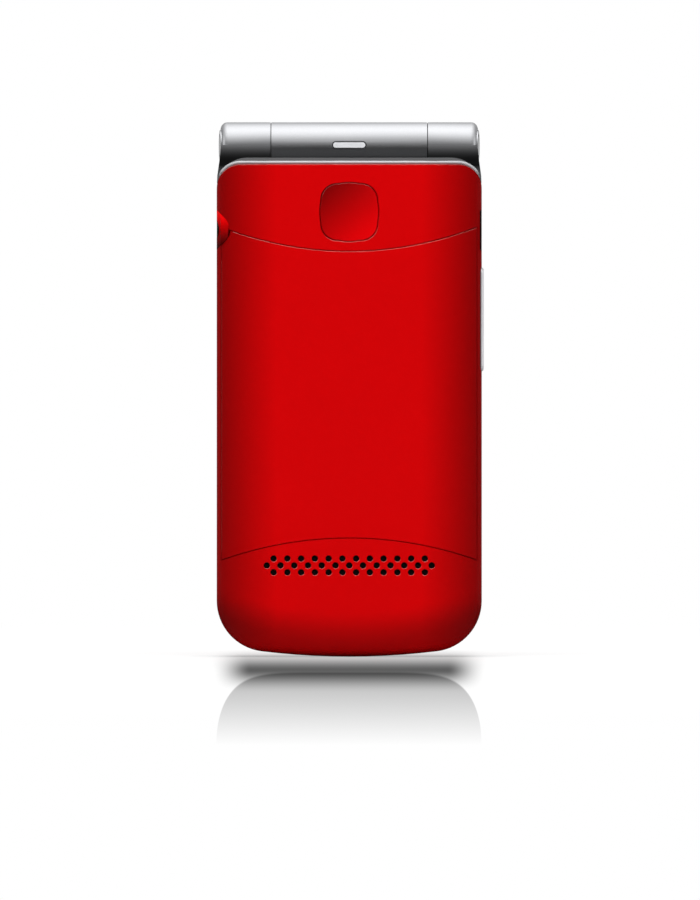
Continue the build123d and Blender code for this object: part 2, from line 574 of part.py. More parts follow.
def ear(sign):
    """Knuckle at one end of the hinge with its flared root, before the bores."""
    knuckle = rod(BARREL_RADIUS, EAR_START, HALF_WIDTH + 2)
    tilt = Rot(0, 0, -EAR_END_TILT)
    knuckle = knuckle - Pos(EAR_END, AXIS_Y, AXIS_Z) * tilt * Pos(10, 0, 0) * Box(20, 40, 20)
    rim = knuckle.faces().sort_by(Axis.X)[-1].edges()
    knuckle = fillet(rim, EAR_RIM_RADIUS)
    flare = [(HALF_WIDTH - inset, AXIS_Z - drop) for inset, drop in EAR_FLARE]
    points = [(EAR_START, AXIS_Z), *flare, (HALF_WIDTH - 8, flare[-1][1]), (EAR_START, LIP_TOP - 1)]
    root = slab(make_face(Polyline(*points, close=True).edges()), AXIS_Y - BARREL_RADIUS, KEYPAD_Y)
    whole = knuckle + root - shell_top_slab(-FIT_GAP, BACK_Y, BASE_PARTING_Y)
    return whole if sign > 0 else mirror(whole, about=Plane.YZ)


def cap_seat(sign, clearance):
    """End cap disc, or with clearance the seat that takes it."""
    radius = CAP_RADIUS + clearance
    proud = 2.0 if clearance else CAP_PROUD
    tilt = Rot(0, 0, -EAR_END_TILT)
    disc = Rot(0, 90, 0) * Cylinder(radius, CAP_THICKNESS + proud)
    disc = Pos(EAR_END, AXIS_Y, AXIS_Z) * tilt * Pos((proud - CAP_THICKNESS) / 2, 0, 0) * disc
    return disc if sign > 0 else mirror(disc, about=Plane.YZ)


def shaft_key(x0, x1):
    """Flatted profile that stops the hinge shaft turning in its knuckle."""
    radius, half = SHAFT_KEY
    return rod(radius, x0, x1) & block(x0, x1, AXIS_Y - half, AXIS_Y + half, AXIS_Z - 5, AXIS_Z + 5)


def make_base_front_housing():
    plate = slab(outline(0), BASE_PARTING_Y, KEYPAD_Y) & lip_top_slab(BACK_Y, KEYPAD_Y)
    lip = form("base_lip", 0, BASE_PARTING_Y) & lip_top_slab(BACK_Y, KEYPAD_Y)
    lip = lip - shell_top_slab(-FIT_GAP, BACK_Y - 1, KEYPAD_Y)
    lip = lip - block(-PHONE_WIDTH, PHONE_WIDTH, BACK_Y, KEYPAD_Y, 0, LIP_FOOT)
    skirt_y = BASE_PARTING_Y - SKIRT_DEPTH
    skirt = skirt_ring(WALL + FIT_GAP, skirt_y, BASE_PARTING_Y + 0.1)
    housing = plate + lip + skirt
    housing = housing - slab(key_window(), BASE_PARTING_Y - 1, KEYPAD_Y)
    for x, z in both(BASE_SCREWS):
        housing = housing + peg(SCREW_BOSS_RADIUS, x, z, SCREW_CUP_END + 0.05, BASE_PARTING_Y + 0.1)
    for x, z in both(BASE_SCREWS):
        housing = housing - peg(SCREW_RADIUS, x, z, -6, BASE_PARTING_Y - 0.6)
    housing = housing - barrel_room()
    housing = housing + ear(1) + ear(-1)
    housing = housing - slab(fascia_outline(0), FASCIA_BACK_Y, KEYPAD_Y + 1)
    housing = housing - cap_seat(1, RUNNING_GAP) - cap_seat(-1, RUNNING_GAP)
    housing = housing - shaft_key(-EAR_END, -EAR_START + 1)
    housing = housing - rod(BARREL_BORE - RUNNING_GAP, EAR_START - 1, BUSH_SPAN[1])
    return housing - flex_slot() - peg(0.5, 0, MIC_Z, BASE_PARTING_Y - 1, KEYPAD_Y)


def skirt_ring(inset, y0, y1):
    """Upright tongue that closes inside a shell's side walls."""
    ring = slab(outline(inset), y0, y1) & shell_top_slab(inset, y0, y1)
    deeper = inset + SKIRT_THICKNESS
    return ring - (slab(outline(deeper), y0, y1) & shell_top_slab(deeper, y0, y1))


def fascia_outline(inset):
    """Outline of the keypad fascia."""
    area = outline(FASCIA_MARGIN + inset) & Pos(0, 0) * rounded_top(
        HALF_WIDTH - FASCIA_MARGIN - inset, FASCIA_TOP - inset, 2.4 - inset)
    return area


def key_window():
    """Opening behind the fascia that the key flanges move in."""
    height = KEY_WINDOW_TOP - KEY_WINDOW_FOOT
    return pad(KEY_WINDOW_WIDTH, height, 2.0, 0, (KEY_WINDOW_TOP + KEY_WINDOW_FOOT) / 2)


# ---------------------------------------------------------------- keys
def key_plan():
    """Name, width, height, corner radius and centre of every plain key."""
    plan = []
    for i, name in enumerate(DIGIT_NAMES):
        x = (1 - i % 3) * DIGIT_PITCH[0]
        z = DIGIT_TOP_ROW_Z - (i // 3) * DIGIT_PITCH[1]
        plan.append(("key_" + name, *DIGIT_KEY, 2.4, x, z))
    for side, soft, call in ((1, "key_soft_left", "key_call"), (-1, "key_soft_right", "key_end")):
        plan.append((soft, *SOFT_KEY, 2.6, side * SOFT_KEY_AT[0], SOFT_KEY_AT[1]))
        plan.append((call, *CALL_KEY, 3.4, side * CALL_KEY_AT[0], CALL_KEY_AT[1]))
    plan.append(("key_select", SELECT_SIZE, SELECT_SIZE, 2.6, 0, NAV_Z))
    return plan


def key_cap(width, height, corner, x, z, rim=0.3):
    """Key with a softened front edge and a retaining flange."""
    cap = slab(pad(width, height, corner, x, z), FLANGE_FRONT_Y - 0.1, KEYPAD_Y + KEY_PROUD)
    front = cap.faces().sort_by(Axis.Y)[-1]
    cap = chamfer(front.edges(), rim)
    grow = 2 * KEY_FLANGE
    flange = Rectangle(width + grow, height + grow)
    flange = Pos(x, z) * chamfer(flange.vertices(), corner + KEY_FLANGE)
    return cap + slab(flange, FLANGE_BACK_Y, FLANGE_FRONT_Y)


def make_nav_ring():
    ring = key_cap(*NAV_SIZE, 5.2, 0, NAV_Z)
    size = SELECT_SIZE + 2 * (KEY_FLANGE + KEY_GAP)
    ring = ring - slab(pad(size, size, 3.2, 0, NAV_Z), FLANGE_BACK_Y, FLANGE_FRONT_Y + 0.3)
    size = SELECT_SIZE + 2 * KEY_GAP
    return ring - slab(pad(size, size, 2.8, 0, NAV_Z), FLANGE_BACK_Y, KEYPAD_Y + 1)


def make_select_key():
    """Select key; its flange hooks behind the ring that surrounds it."""
    return key_cap(SELECT_SIZE, SELECT_SIZE, 2.6, 0, NAV_Z)


def make_fascia():
    plate = slab(fascia_outline(FIT_GAP / 2), FASCIA_BACK_Y, KEYPAD_Y)
    for name, width, height, corner, x, z in key_plan():
        if name == "key_select":
            width, height, corner = *NAV_SIZE, 5.2
        hole = pad(width + 2 * KEY_GAP, height + 2 * KEY_GAP, corner + KEY_GAP, x, z)
        plate = plate - slab(hole, FASCIA_BACK_Y - 1, KEYPAD_Y + 1)
    return plate - peg(0.5, 0, MIC_Z, FASCIA_BACK_Y - 1, KEYPAD_Y + 1) - barrel_room()


DOME_POINTS = [(x, z) for _, _, _, _, x, z in key_plan()]
DOME_POINTS += [(0, NAV_Z + NAV_DOMES[1]), (0, NAV_Z - NAV_DOMES[1])]
DOME_POINTS += [(NAV_DOMES[0], NAV_Z), (-NAV_DOMES[0], NAV_Z)]


def make_keypad_mat():
    width, height = KEY_WINDOW_WIDTH + 2 * MAT_LAP, KEY_WINDOW_TOP - KEY_WINDOW_FOOT + 2 * MAT_LAP
    mid_z = (KEY_WINDOW_TOP + KEY_WINDOW_FOOT) / 2
    rim = slab(pad(width, height, 3.0, 0, mid_z), MAT_FRONT_Y - MAT_THICKNESS, BASE_PARTING_Y)
    mat = rim - slab(pad(width - 2, height - 2, 2.2, 0, mid_z), MAT_FRONT_Y, BASE_PARTING_Y + 1)
    back = MAT_FRONT_Y - MAT_THICKNESS
    for x, z in DOME_POINTS:
        mat = mat + slab(Pos(x, z) * RegularPolygon(PLUNGER_RADIUS, 8), back - 0.35, back + 0.05)
    for x, z in both(BASE_SCREWS):
        mat = mat - peg(SCREW_BOSS_RADIUS + 0.15, x, z, back - 1, BASE_PARTING_Y + 1)
    return mat


def make_dome_sheet():
    width, height = KEY_WINDOW_WIDTH - 4.2, KEY_WINDOW_TOP - KEY_WINDOW_FOOT
    mid_z = (KEY_WINDOW_TOP + KEY_WINDOW_FOOT) / 2
    front = BOARD_FRONT_Y + DOME_SHEET_THICKNESS
    sheet = slab(pad(width, height, 1.0, 0, mid_z), BOARD_FRONT_Y, front)
    for x, z in DOME_POINTS:
        sheet = sheet + slab(Pos(x, z) * RegularPolygon(DOME_RADIUS, 12), front - 0.05, front + DOME_HEIGHT)
    return sheet


# ---------------------------------------------------------------- base internals
def make_main_board():
    area = outline(BOARD_INSET) & rounded_top(HALF_WIDTH - BOARD_INSET, BOARD_TOP, 3.0)
    board = slab(area, BOARD_BACK_Y, BOARD_FRONT_Y)
    for x, z in both(BASE_SCREWS):
        board = board - peg(SCREW_BOSS_RADIUS + 0.1, x, z, BOARD_BACK_Y - 1, BOARD_FRONT_Y + 1)
    y0, y1, reach = BOARD_BACK_Y - 1, BOARD_FRONT_Y + 1, JACK_BODY_SIZE[1] / 2 + FIT_GAP
    board = board - block(-HALF_WIDTH, -JACK_BODY[0], y0, y1, JACK_Z - reach, JACK_Z + reach)
    reach = ROCKER_SIZE[0] / 2 + ROCKER_FLANGE[2] + 0.8
    return board - block(ROCKER_BACK_X - 0.2, HALF_WIDTH, y0, y1, ROCKER_Z - reach, ROCKER_Z + reach)


def make_rf_shields():
    upper_z = BOARD_TOP - 0.8
    cans = [
        (7.4, USB_SPAN[0] - 0.8, BAY_TOP + 2.8, upper_z),
        (-JACK_BODY[1] + 5.6, -7.4, JACK_Z + JACK_BODY_SIZE[1] / 2 + 1.1, upper_z),
        (-HALF_WIDTH + 3.4, -HALF_WIDTH + 10.4, 8.6, 17.0),
    ]
    return as_part([block(x0, x1, BOARD_BACK_Y - 1.8, BOARD_BACK_Y, z0, z1) for x0, x1, z0, z1 in cans])


def make_battery_contacts():
    blades = []
    for x in (-CONTACT_PITCH, 0, CONTACT_PITCH):
        upright = block(x - 0.6, x + 0.6, BAY_FLOOR_Y - 3.0, BOARD_BACK_Y, BAY_FOOT - 0.75, BAY_FOOT - 0.4)
        toe = block(x - 0.6, x + 0.6, BAY_FLOOR_Y - 3.0, BAY_FLOOR_Y - 2.0, BAY_FOOT - 0.5, BAY_FOOT + 0.2)
        blades.append(upright + toe)
    return as_part(blades)


def make_sim_holder():
    back = BATTERY_FRONT_Y + 0.2
    x0, x1, z0, z1 = SIM_X[0] + 0.15, SIM_X[1] - 0.15, SIM_Z[0] + 0.15, SIM_Z[1] - 0.15
    frame = block(x0, x1, back, BOARD_BACK_Y, z0, z1)
    return frame - block(x0 + 0.5, x1 - 0.5, back + 0.25, BOARD_BACK_Y - 0.15, z0 - 1, z1 - 1.2)


def make_usb_socket():
    shell = bar(Pos(PORT_Y, USB_Z) * RectangleRounded(USB_SHELL[1], USB_SHELL[0], 0.6), *USB_SPAN)
    cavity = Pos(PORT_Y, USB_Z) * RectangleRounded(USB_CAVITY[1], USB_CAVITY[0], 0.45)
    shell = shell - bar(cavity, USB_SPAN[0] + 0.6, USB_SPAN[1] + 1)
    return shell + block(USB_SPAN[0] + 0.5, USB_SPAN[1] - 1.0, PORT_Y + 0.05, PORT_Y + 0.6,
                         USB_Z - 2.4, USB_Z + 2.4)


def make_headset_jack():
    y, z = JACK_BODY_SIZE[0] / 2, JACK_BODY_SIZE[1] / 2
    body = block(-JACK_BODY[1], -JACK_BODY[0], PORT_Y - y, PORT_Y + y, JACK_Z - z, JACK_Z + z)
    bore_end = -JACK_BODY[1] + JACK_BORE_LENGTH
    return body - rod(JACK_BORE_RADIUS, -JACK_BODY[1] - 1, bore_end, PORT_Y, JACK_Z)


def make_loudspeaker():
    body = slab(pad(20.0, 8.4, 3.4, 0, GRILLE_Z - 0.6), MESH_Y[1], BACK_Y + 4.9)
    return body - slab(pad(17.6, 6.0, 2.4, 0, GRILLE_Z - 0.6), MESH_Y[1] - 1, MESH_Y[1] + 0.5)


def make_speaker_mesh():
    width = (GRILLE_LONG_ROW - 1) * GRILLE_PITCH + 2 * GRILLE_HOLE_RADIUS
    height = GRILLE_PITCH + 2 * GRILLE_HOLE_RADIUS
    mesh = slab(pad(width + 0.8, height + 0.8, 1.0, 0, GRILLE_Z), *MESH_Y)
    return mesh & form("base", WALL, BASE_PARTING_Y)


def make_side_key_board():
    front = ROCKER_BACK_X - ROCKER_SWITCH_GAP
    back = front - 0.4
    film = block(back - 0.4, back, PORT_Y - 1.9, BOARD_BACK_Y, ROCKER_Z - 9.6, ROCKER_Z + 9.6)
    for z in (ROCKER_Z - 6.4, ROCKER_Z + 6.4):
        film = film + block(back - 0.1, front, PORT_Y - 1.2, PORT_Y + 0.9, z - 1.6, z + 1.6)
    return film


def make_volume_rocker():
    cap = bar(rocker_outline(0), ROCKER_BACK_X, HALF_WIDTH + ROCKER_PROUD)
    cap = chamfer(cap.faces().sort_by(Axis.X)[-1].edges(), 0.3)
    thick, wide, over = ROCKER_FLANGE
    half = ROCKER_SIZE[0] / 2 + over
    back = PORT_Y - wide + 2.05
    flange = block(ROCKER_BACK_X, ROCKER_BACK_X + thick, back, back + wide, ROCKER_Z - half, ROCKER_Z + half)
    pivot = peg(ROCKER_PIVOT_RADIUS, ROCKER_BACK_X + thick / 2, ROCKER_Z, back, back + wide)
    return cap + flange + pivot


def make_sos_key():
    cap = slab(squircle(SOS_SIZE, SOS_CORNER, SOS_BOW, 0, SOS_Z), BACK_Y, SOS_FLANGE_Y[0] + 0.1)
    radius = (SOS_SIZE / 2) ** 2 / (2 * SOS_DISH)
    dish = Pos(0, BACK_Y + SOS_DISH - radius - 0.02, SOS_Z) * Sphere(radius)
    cap = cap - dish
    flange = slab(squircle(SOS_SIZE + 2 * SOS_FLANGE[0], SOS_CORNER, SOS_BOW, 0, SOS_Z), *SOS_FLANGE_Y)
    return cap + flange + peg(1.5, 0, SOS_Z, SOS_FLANGE_Y[0], SOS_STEM_END)


def make_sos_switch():
    body = block(-3, 3, -4.5, BOARD_BACK_Y, SOS_Z - 3, SOS_Z + 3)
    return body + peg(1.2, 0, SOS_Z, SOS_STEM_END + SOS_TRAVEL + 0.1, -4.4)


def catch_ribs(grow):
    """Short ribs inside the battery cover's edges, or the slots that take them."""
    width, thick, deep = [v + 2 * grow for v in CATCH_SIZE]
    ribs = []
    for x in CATCH_X:
        top = COVER_TOP + COVER_TOP_ARC - sqrt(COVER_TOP_ARC**2 - x**2)
        foot = COVER_FOOT - COVER_FOOT_ARC + sqrt(COVER_FOOT_ARC**2 - x**2)
        for z in (top - 0.75, foot + 0.6):
            for s in (-1, 1):
                rib = Pos(s * x, BACK_Y + LEDGE_INSET - 0.1 + deep / 2, z) * Box(width, deep, thick)
                ribs.append(rib)
    return ribs


def make_battery_cover():
    cover = form("base", 0, BASE_PARTING_Y) - form("base", COVER_THICKNESS, BASE_PARTING_Y)
    cover = cover & slab(cover_outline(0), BACK_Y - 1, COVER_SEAM_Y)
    around_boss = rod(JACK_BOSS_RADIUS + SEAM_GAP, -HALF_WIDTH - 1, -HALF_WIDTH + 5, PORT_Y, JACK_Z)
    cover = cover - around_boss
    return cover + catch_ribs(0)


def make_battery():
    height = BAY_TOP - BAY_FOOT - 2 * BATTERY_END_GAP
    body = pad(BATTERY_WIDTH, height, BATTERY_CORNER, 0, (BAY_TOP + BAY_FOOT) / 2)
    return slab(body, BATTERY_BACK_Y, BATTERY_FRONT_Y)


def screw(x, z, head_y, s, length):
    """Cross-recessed screw driven along +Y (s = 1) or -Y (s = -1)."""
    head_end = head_y + s * SCREW_HEAD_HEIGHT
    body = peg(SCREW_HEAD_RADIUS, x, z, head_y, head_end)
    body = body + peg(SCREW_RADIUS, x, z, head_end, head_y + s * length)
    recess_end = head_y + s * 0.4
    for w, h in ((1.3, 0.35), (0.35, 1.3)):
        body = body - block(x - w / 2, x + w / 2, head_y - s, recess_end, z - h / 2, z + h / 2)
    return body


# ---------------------------------------------------------------- hinge
def make_hinge_shaft():
    near, far = SHAFT_SPAN
    shaft = rod(SHAFT_RADIUS, -EAR_START - 3.5, -near)
    return shaft + shaft_key(-far, -EAR_START - 0.6)


def make_hinge_bush():
    near, far = BUSH_SPAN
    tube = rod(BARREL_BORE - RUNNING_GAP, near, far) - rod(BUSH_BORE, near - 1, far + 1)
    return tube - flex_slot()


def make_hinge_caps():
    caps = []
    for s in (-1, 1):
        cap = cap_seat(s, 0)
        x = s * (EAR_END + CAP_PROUD)
        groove = Rot(0, 90, 0) * (Cylinder(2.3, 0.5) - Cylinder(1.95, 0.5))
        cap = cap - Pos(x, AXIS_Y, AXIS_Z) * Rot(0, 0, -s * EAR_END_TILT) * groove
        caps.append(cap)
    return as_part(caps)


def make_hinge_can():
    near, far = CAN_SPAN
    can = rod(CAN_RADIUS, -far, -near)
    can = can - rod(CAN_RADIUS - CAN_WALL, -far + 1.2, -near - 0.8)
    return can - rod(SHAFT_RADIUS + RUNNING_GAP, -far - 1, -far + 2)


def make_hinge_spring():
    length = CAN_SPAN[1] - CAN_SPAN[0] - 2.6
    coil = Helix(length / 5.0, length, SPRING_RADIUS)
    wire = Plane(origin=coil @ 0, z_dir=coil % 0) * RegularPolygon(SPRING_WIRE, 6)
    spring = sweep(wire, path=coil)
    return Pos(-CAN_SPAN[1] + 1.5, AXIS_Y, AXIS_Z) * Rot(0, 90, 0) * spring


def make_hinge_flex():
    coil = rod(FLEX_COIL_RADIUS, 2.0, FLEX_X[1]) - rod(FLEX_COIL_RADIUS - FLEX_THICKNESS, 1.0, FLEX_X[1] + 1)
    y = AXIS_Y - FLEX_COIL_RADIUS
    tail = block(*FLEX_X, y - 0.1, y + FLEX_THICKNESS - 0.05, BOARD_TOP - 3.6, AXIS_Z)
    socket = block(FLEX_X[0] - 0.6, FLEX_X[1] + 0.6, BOARD_FRONT_Y, y + 0.1,
                   BOARD_TOP - 4.0, BOARD_TOP - 1.6)
    return coil + tail + socket


# ---------------------------------------------------------------- lid
def make_lid_inner_housing():
    plate = slab(outline(0), SCREEN_Y, LID_PARTING_Y) & lip_top_slab(SCREEN_Y, FRONT_Y)
    thick = slab(outline(WALL + FIT_GAP), SCREEN_Y, SCREEN_BACK_Y)
    plate = plate + (thick & shell_top_slab(WALL + FIT_GAP, SCREEN_Y, SCREEN_BACK_Y))
    lip = form("lid_lip", 0, LID_PARTING_Y) & lip_top_slab(SCREEN_Y, FRONT_Y)
    lip = lip - shell_top_slab(-FIT_GAP, SCREEN_Y, FRONT_Y + 1)
    lip = lip - block(-PHONE_WIDTH, PHONE_WIDTH, SCREEN_Y, FRONT_Y, 0, LIP_FOOT)
    skirt = skirt_ring(WALL + FIT_GAP, LID_PARTING_Y - 0.1, LID_PARTING_Y + SKIRT_DEPTH)
    housing = plate + lip + skirt
    for s in (-1, 1):
        housing = housing - rod(SWEEP_RADIUS, s * BARREL_END, s * PHONE_WIDTH)
    housing = housing + rod(BARREL_RADIUS, -BARREL_END, BARREL_END)
    web = block(-BARREL_END, BARREL_END, SCREEN_Y, AXIS_Y + BARREL_RADIUS, SHELL_TOP + 0.2, AXIS_Z)
    housing = housing + web
    housing = housing - rod(BARREL_BORE, -BARREL_END - 1, BARREL_END + 1)
    lamp = pad(*LIGHT_BAR, LIGHT_BAR[1] / 2 - 0.01, 0, AXIS_Z)
    housing = housing - slab(lamp, AXIS_Y - BARREL_RADIUS - 1, AXIS_Y)
    for x, z in both(LID_SCREWS):
        housing = housing + peg(SCREW_BOSS_RADIUS + 0.3, x, z, SCREEN_BACK_Y - 0.1, 4.6)
    window = pad(SCREEN_WINDOW[0] + FIT_GAP, SCREEN_WINDOW[1] + FIT_GAP, 2.0, 0, SCREEN_WINDOW_Z)
    housing = housing - slab(window, SCREEN_Y - 1, SCREEN_Y + GLASS_THICKNESS + 0.05)
    opening = pad(*within(SCREEN_WINDOW, SCREEN_BORDER), 0.8, 0, SCREEN_WINDOW_Z)
    housing = housing - slab(opening, SCREEN_Y, SCREEN_BACK_Y + 1)
    housing = housing - slab(pad(*EARPIECE_SLOT, 0.64, 0, EARPIECE_Z), SCREEN_Y - 1, SCREEN_BACK_Y + 1)
    for x, z in both(LID_SCREWS):
        housing = housing - peg(BUMPER_RADIUS + 0.1, x, z, SCREEN_Y - 1, LID_SCREW_HEAD_Y)
        housing = housing - peg(SCREW_HEAD_RADIUS + 0.1, x, z, SCREEN_Y, LID_SCREW_HEAD_Y + SCREW_HEAD_HEIGHT)
        housing = housing - peg(SCREW_RADIUS + 0.1, x, z, SCREEN_Y, 5)
    return housing


def make_lid_outer_cover():
    shell = form("lid", 0, LID_PARTING_Y) & shell_top_slab(0, LID_PARTING_Y, FRONT_Y)
    shell = shell - (form("lid", WALL, LID_PARTING_Y) & shell_top_slab(WALL, LID_PARTING_Y, FRONT_Y))
    for x, z in both(LID_SCREWS):
        shell = shell + (peg(SCREW_BOSS_RADIUS, x, z, 4.65, FRONT_Y) & form("lid", 0.6, LID_PARTING_Y))
    for x, z in both(LID_SCREWS):
        shell = shell - peg(SCREW_RADIUS, x, z, 4, 7.0)
    window = pad(OUTER_WINDOW[0] + FIT_GAP, OUTER_WINDOW[1] + FIT_GAP, 3.0, 0, OUTER_WINDOW_Z)
    shell = shell - slab(window, FRONT_Y - GLASS_THICKNESS - 0.05, FRONT_Y + 1)
    opening = pad(*within(OUTER_WINDOW, OUTER_BORDER), 1.0, 0, OUTER_WINDOW_Z)
    shell = shell - slab(opening, FRONT_Y - 2, FRONT_Y)
    shell = shell - peg(CAMERA_RING_RADIUS + RUNNING_GAP, 0, CAMERA_Z, FRONT_Y - 2, FRONT_Y + 1)
    return shell - rod(SWEEP_RADIUS, -PHONE_WIDTH, PHONE_WIDTH)


def make_main_display():
    size = within(SCREEN_WINDOW, SCREEN_MODULE_BORDER)
    return slab(pad(*size, 0.5, 0, SCREEN_WINDOW_Z), SCREEN_BACK_Y, SCREEN_BACK_Y + DISPLAY_THICKNESS)


def make_outer_display():
    size = within(OUTER_WINDOW, OUTER_MODULE_BORDER)
    return slab(pad(*size, 0.5, 0, OUTER_WINDOW_Z), LID_BOARD_Y + BOARD_THICKNESS, LID_INNER_Y)


def make_lid_board():
    top = PHONE_HEIGHT - LID_BOARD_DROP
    size = (PHONE_WIDTH - 2 * LID_BOARD_MARGIN, top - LID_BOARD_FOOT)
    mid_z = (top + LID_BOARD_FOOT) / 2
    board = slab(pad(*size, 2.0, 0, mid_z), LID_BOARD_Y, LID_BOARD_Y + BOARD_THICKNESS)
    for x, z in both([LID_SCREWS[0]]):
        board = board - peg(SCREW_BOSS_RADIUS + 0.5, x, z, SCREEN_Y, FRONT_Y)
    return board


def make_camera_module():
    back = LID_BOARD_Y + BOARD_THICKNESS
    low, high, wide = CAMERA_BODY
    base = block(-wide / 2, wide / 2, back, LID_INNER_Y - 0.25, CAMERA_Z - low, CAMERA_Z + high)
    lens = peg(CAMERA_LENS_RADIUS - FIT_GAP, 0, CAMERA_Z, back, FRONT_Y - CAMERA_LENS_DEPTH)
    return base + lens


def make_camera_ring():
    ring = peg(CAMERA_RING_RADIUS, 0, CAMERA_Z, FRONT_Y - WALL, FRONT_Y)
    ring = ring - peg(CAMERA_LENS_RADIUS, 0, CAMERA_Z, FRONT_Y - 2, FRONT_Y + 1)
    return chamfer(ring.faces().sort_by(Axis.Y)[-1].edges(), 0.2)


def make_earpiece():
    return slab(pad(12.0, 5.0, 2.4, 0, EARPIECE_Z), SCREEN_BACK_Y, SCREEN_BACK_Y + 2.0)


def make_indicator_lens():
    area = pad(*LIGHT_BAR, LIGHT_BAR[1] / 2 - 0.01, 0, AXIS_Z)
    return slab(area, AXIS_Y - BARREL_RADIUS - LIGHT_BAR_PROUD, AXIS_Y - BARREL_BORE)


def make_lid_bumpers():
    bumpers = []
    for x, z in both(LID_SCREWS):
        bumper = peg(BUMPER_RADIUS, x, z, SCREEN_Y - HALVES_GAP + 0.06, LID_SCREW_HEAD_Y)
        bumpers.append(bumper)
    return as_part(bumpers)


# ---------------------------------------------------------------- assembly and export
def build_nodes():
    nodes = {
        "base_rear_housing": make_base_rear_housing(),
        "base_front_housing": make_base_front_housing(),
        "keypad_fascia": make_fascia(),
        "main_board": make_main_board(),
        "rf_shields": make_rf_shields(),
        "dome_sheet": make_dome_sheet(),
        "keypad_mat": make_keypad_mat(),
        "battery_contacts": make_battery_contacts(),
        "sim_card_holder": make_sim_holder(),
        "micro_usb_socket": make_usb_socket(),
        "headset_jack": make_headset_jack(),
        "loudspeaker": make_loudspeaker(),
        "speaker_mesh": make_speaker_mesh(),
        "microphone": peg(2.0, 0, MIC_Z, BOARD_FRONT_Y, BASE_PARTING_Y),
        "vibration_motor": peg(MOTOR_RADIUS, HALF_WIDTH - 8.4, 14.0, BOARD_BACK_Y - 2.7, BOARD_BACK_Y),
        "antenna_carrier": block(-12.4, 12.4, BOARD_BACK_Y - 3.6, BOARD_BACK_Y, 3.2, 8.4),
        "side_key_board": make_side_key_board(),
        "sos_switch": make_sos_switch(),
        "base_screws": as_part([screw(x, z, BASE_SCREW_HEAD_Y, 1, 5.4) for x, z in both(BASE_SCREWS)]),
        "hinge_shaft": make_hinge_shaft(),
        "hinge_bush": make_hinge_bush(),
        "hinge_caps": make_hinge_caps(),
        "hinge_flex_cable": make_hinge_flex(),
        "battery_cover": make_battery_cover(),
        "battery": make_battery(),
        "sos_key": make_sos_key(),
        "volume_rocker": make_volume_rocker(),
        "key_nav_ring": make_nav_ring(),
        "lid_inner_housing": make_lid_inner_housing(),
        "lid_outer_cover": make_lid_outer_cover(),
        "main_window": slab(pad(*SCREEN_WINDOW, 2.0, 0, SCREEN_WINDOW_Z),
                            SCREEN_Y + 0.05, SCREEN_Y + GLASS_THICKNESS + 0.05),
        "main_display": make_main_display(),
        "outer_window": slab(pad(*OUTER_WINDOW, 3.0, 0, OUTER_WINDOW_Z),
                             FRONT_Y - GLASS_THICKNESS - 0.05, FRONT_Y - 0.05),
        "outer_display": make_outer_display(),
        "lid_board": make_lid_board(),
        "earpiece": make_earpiece(),
        "camera_module": make_camera_module(),
        "camera_ring": make_camera_ring(),
        "lid_bumpers": make_lid_bumpers(),
        "lid_screws": as_part([screw(x, z, LID_SCREW_HEAD_Y, 1, 4.6) for x, z in both(LID_SCREWS)]),
        "hinge_can": make_hinge_can(),
        "hinge_spring": make_hinge_spring(),
        "indicator_lens": make_indicator_lens(),
    }
    for name, *values in key_plan():
        nodes[name] = key_cap(*values)
    return nodes


def main():
    os.makedirs("parts", exist_ok=True)
    for name, shape in build_nodes().items():
        shape.label = name
        export_step(shape, f"parts/{name}.step")


main()
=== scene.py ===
import json
import logging
import math
from dataclasses import dataclass
from enum import Enum
from typing import Callable, Iterable, Sequence

import bpy
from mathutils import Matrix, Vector


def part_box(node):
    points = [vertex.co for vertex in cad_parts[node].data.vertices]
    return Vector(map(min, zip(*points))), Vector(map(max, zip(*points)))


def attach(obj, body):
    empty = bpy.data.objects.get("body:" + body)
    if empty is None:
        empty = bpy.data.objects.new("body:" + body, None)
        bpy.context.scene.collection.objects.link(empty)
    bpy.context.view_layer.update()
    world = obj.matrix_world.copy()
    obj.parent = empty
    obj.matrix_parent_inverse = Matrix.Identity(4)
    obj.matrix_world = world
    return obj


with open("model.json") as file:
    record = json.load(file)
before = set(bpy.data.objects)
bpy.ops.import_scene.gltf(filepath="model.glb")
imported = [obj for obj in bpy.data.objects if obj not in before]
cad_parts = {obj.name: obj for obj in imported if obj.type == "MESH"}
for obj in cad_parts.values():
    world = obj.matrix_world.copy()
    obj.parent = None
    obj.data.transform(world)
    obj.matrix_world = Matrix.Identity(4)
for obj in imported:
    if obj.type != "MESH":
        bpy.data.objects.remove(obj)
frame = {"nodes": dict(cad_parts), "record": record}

logging.basicConfig(level=logging.INFO, format="%(message)s")
LOG = logging.getLogger("clamshell")

Rgb = tuple[float, float, float]
Point = tuple[float, float, float]
Span = tuple[float, float]
Piece = bpy.types.Object
Socket = bpy.types.NodeSocket
Axes = tuple[Socket, Socket, Socket]
MM = 0.001


def srgb(red: int, green: int, blue: int) -> Rgb:
    """Linear colour of an 8-bit display colour.

    Args:
        red: Red, 0 to 255.
        green: Green, 0 to 255.
        blue: Blue, 0 to 255.

    Returns:
        The three linear values.
    """
    values = []
    for level in (red, green, blue):
        share = level / 255
        values.append(share / 12.92 if share <= 0.04045 else ((share + 0.055) / 1.055) ** 2.4)
    return values[0], values[1], values[2]


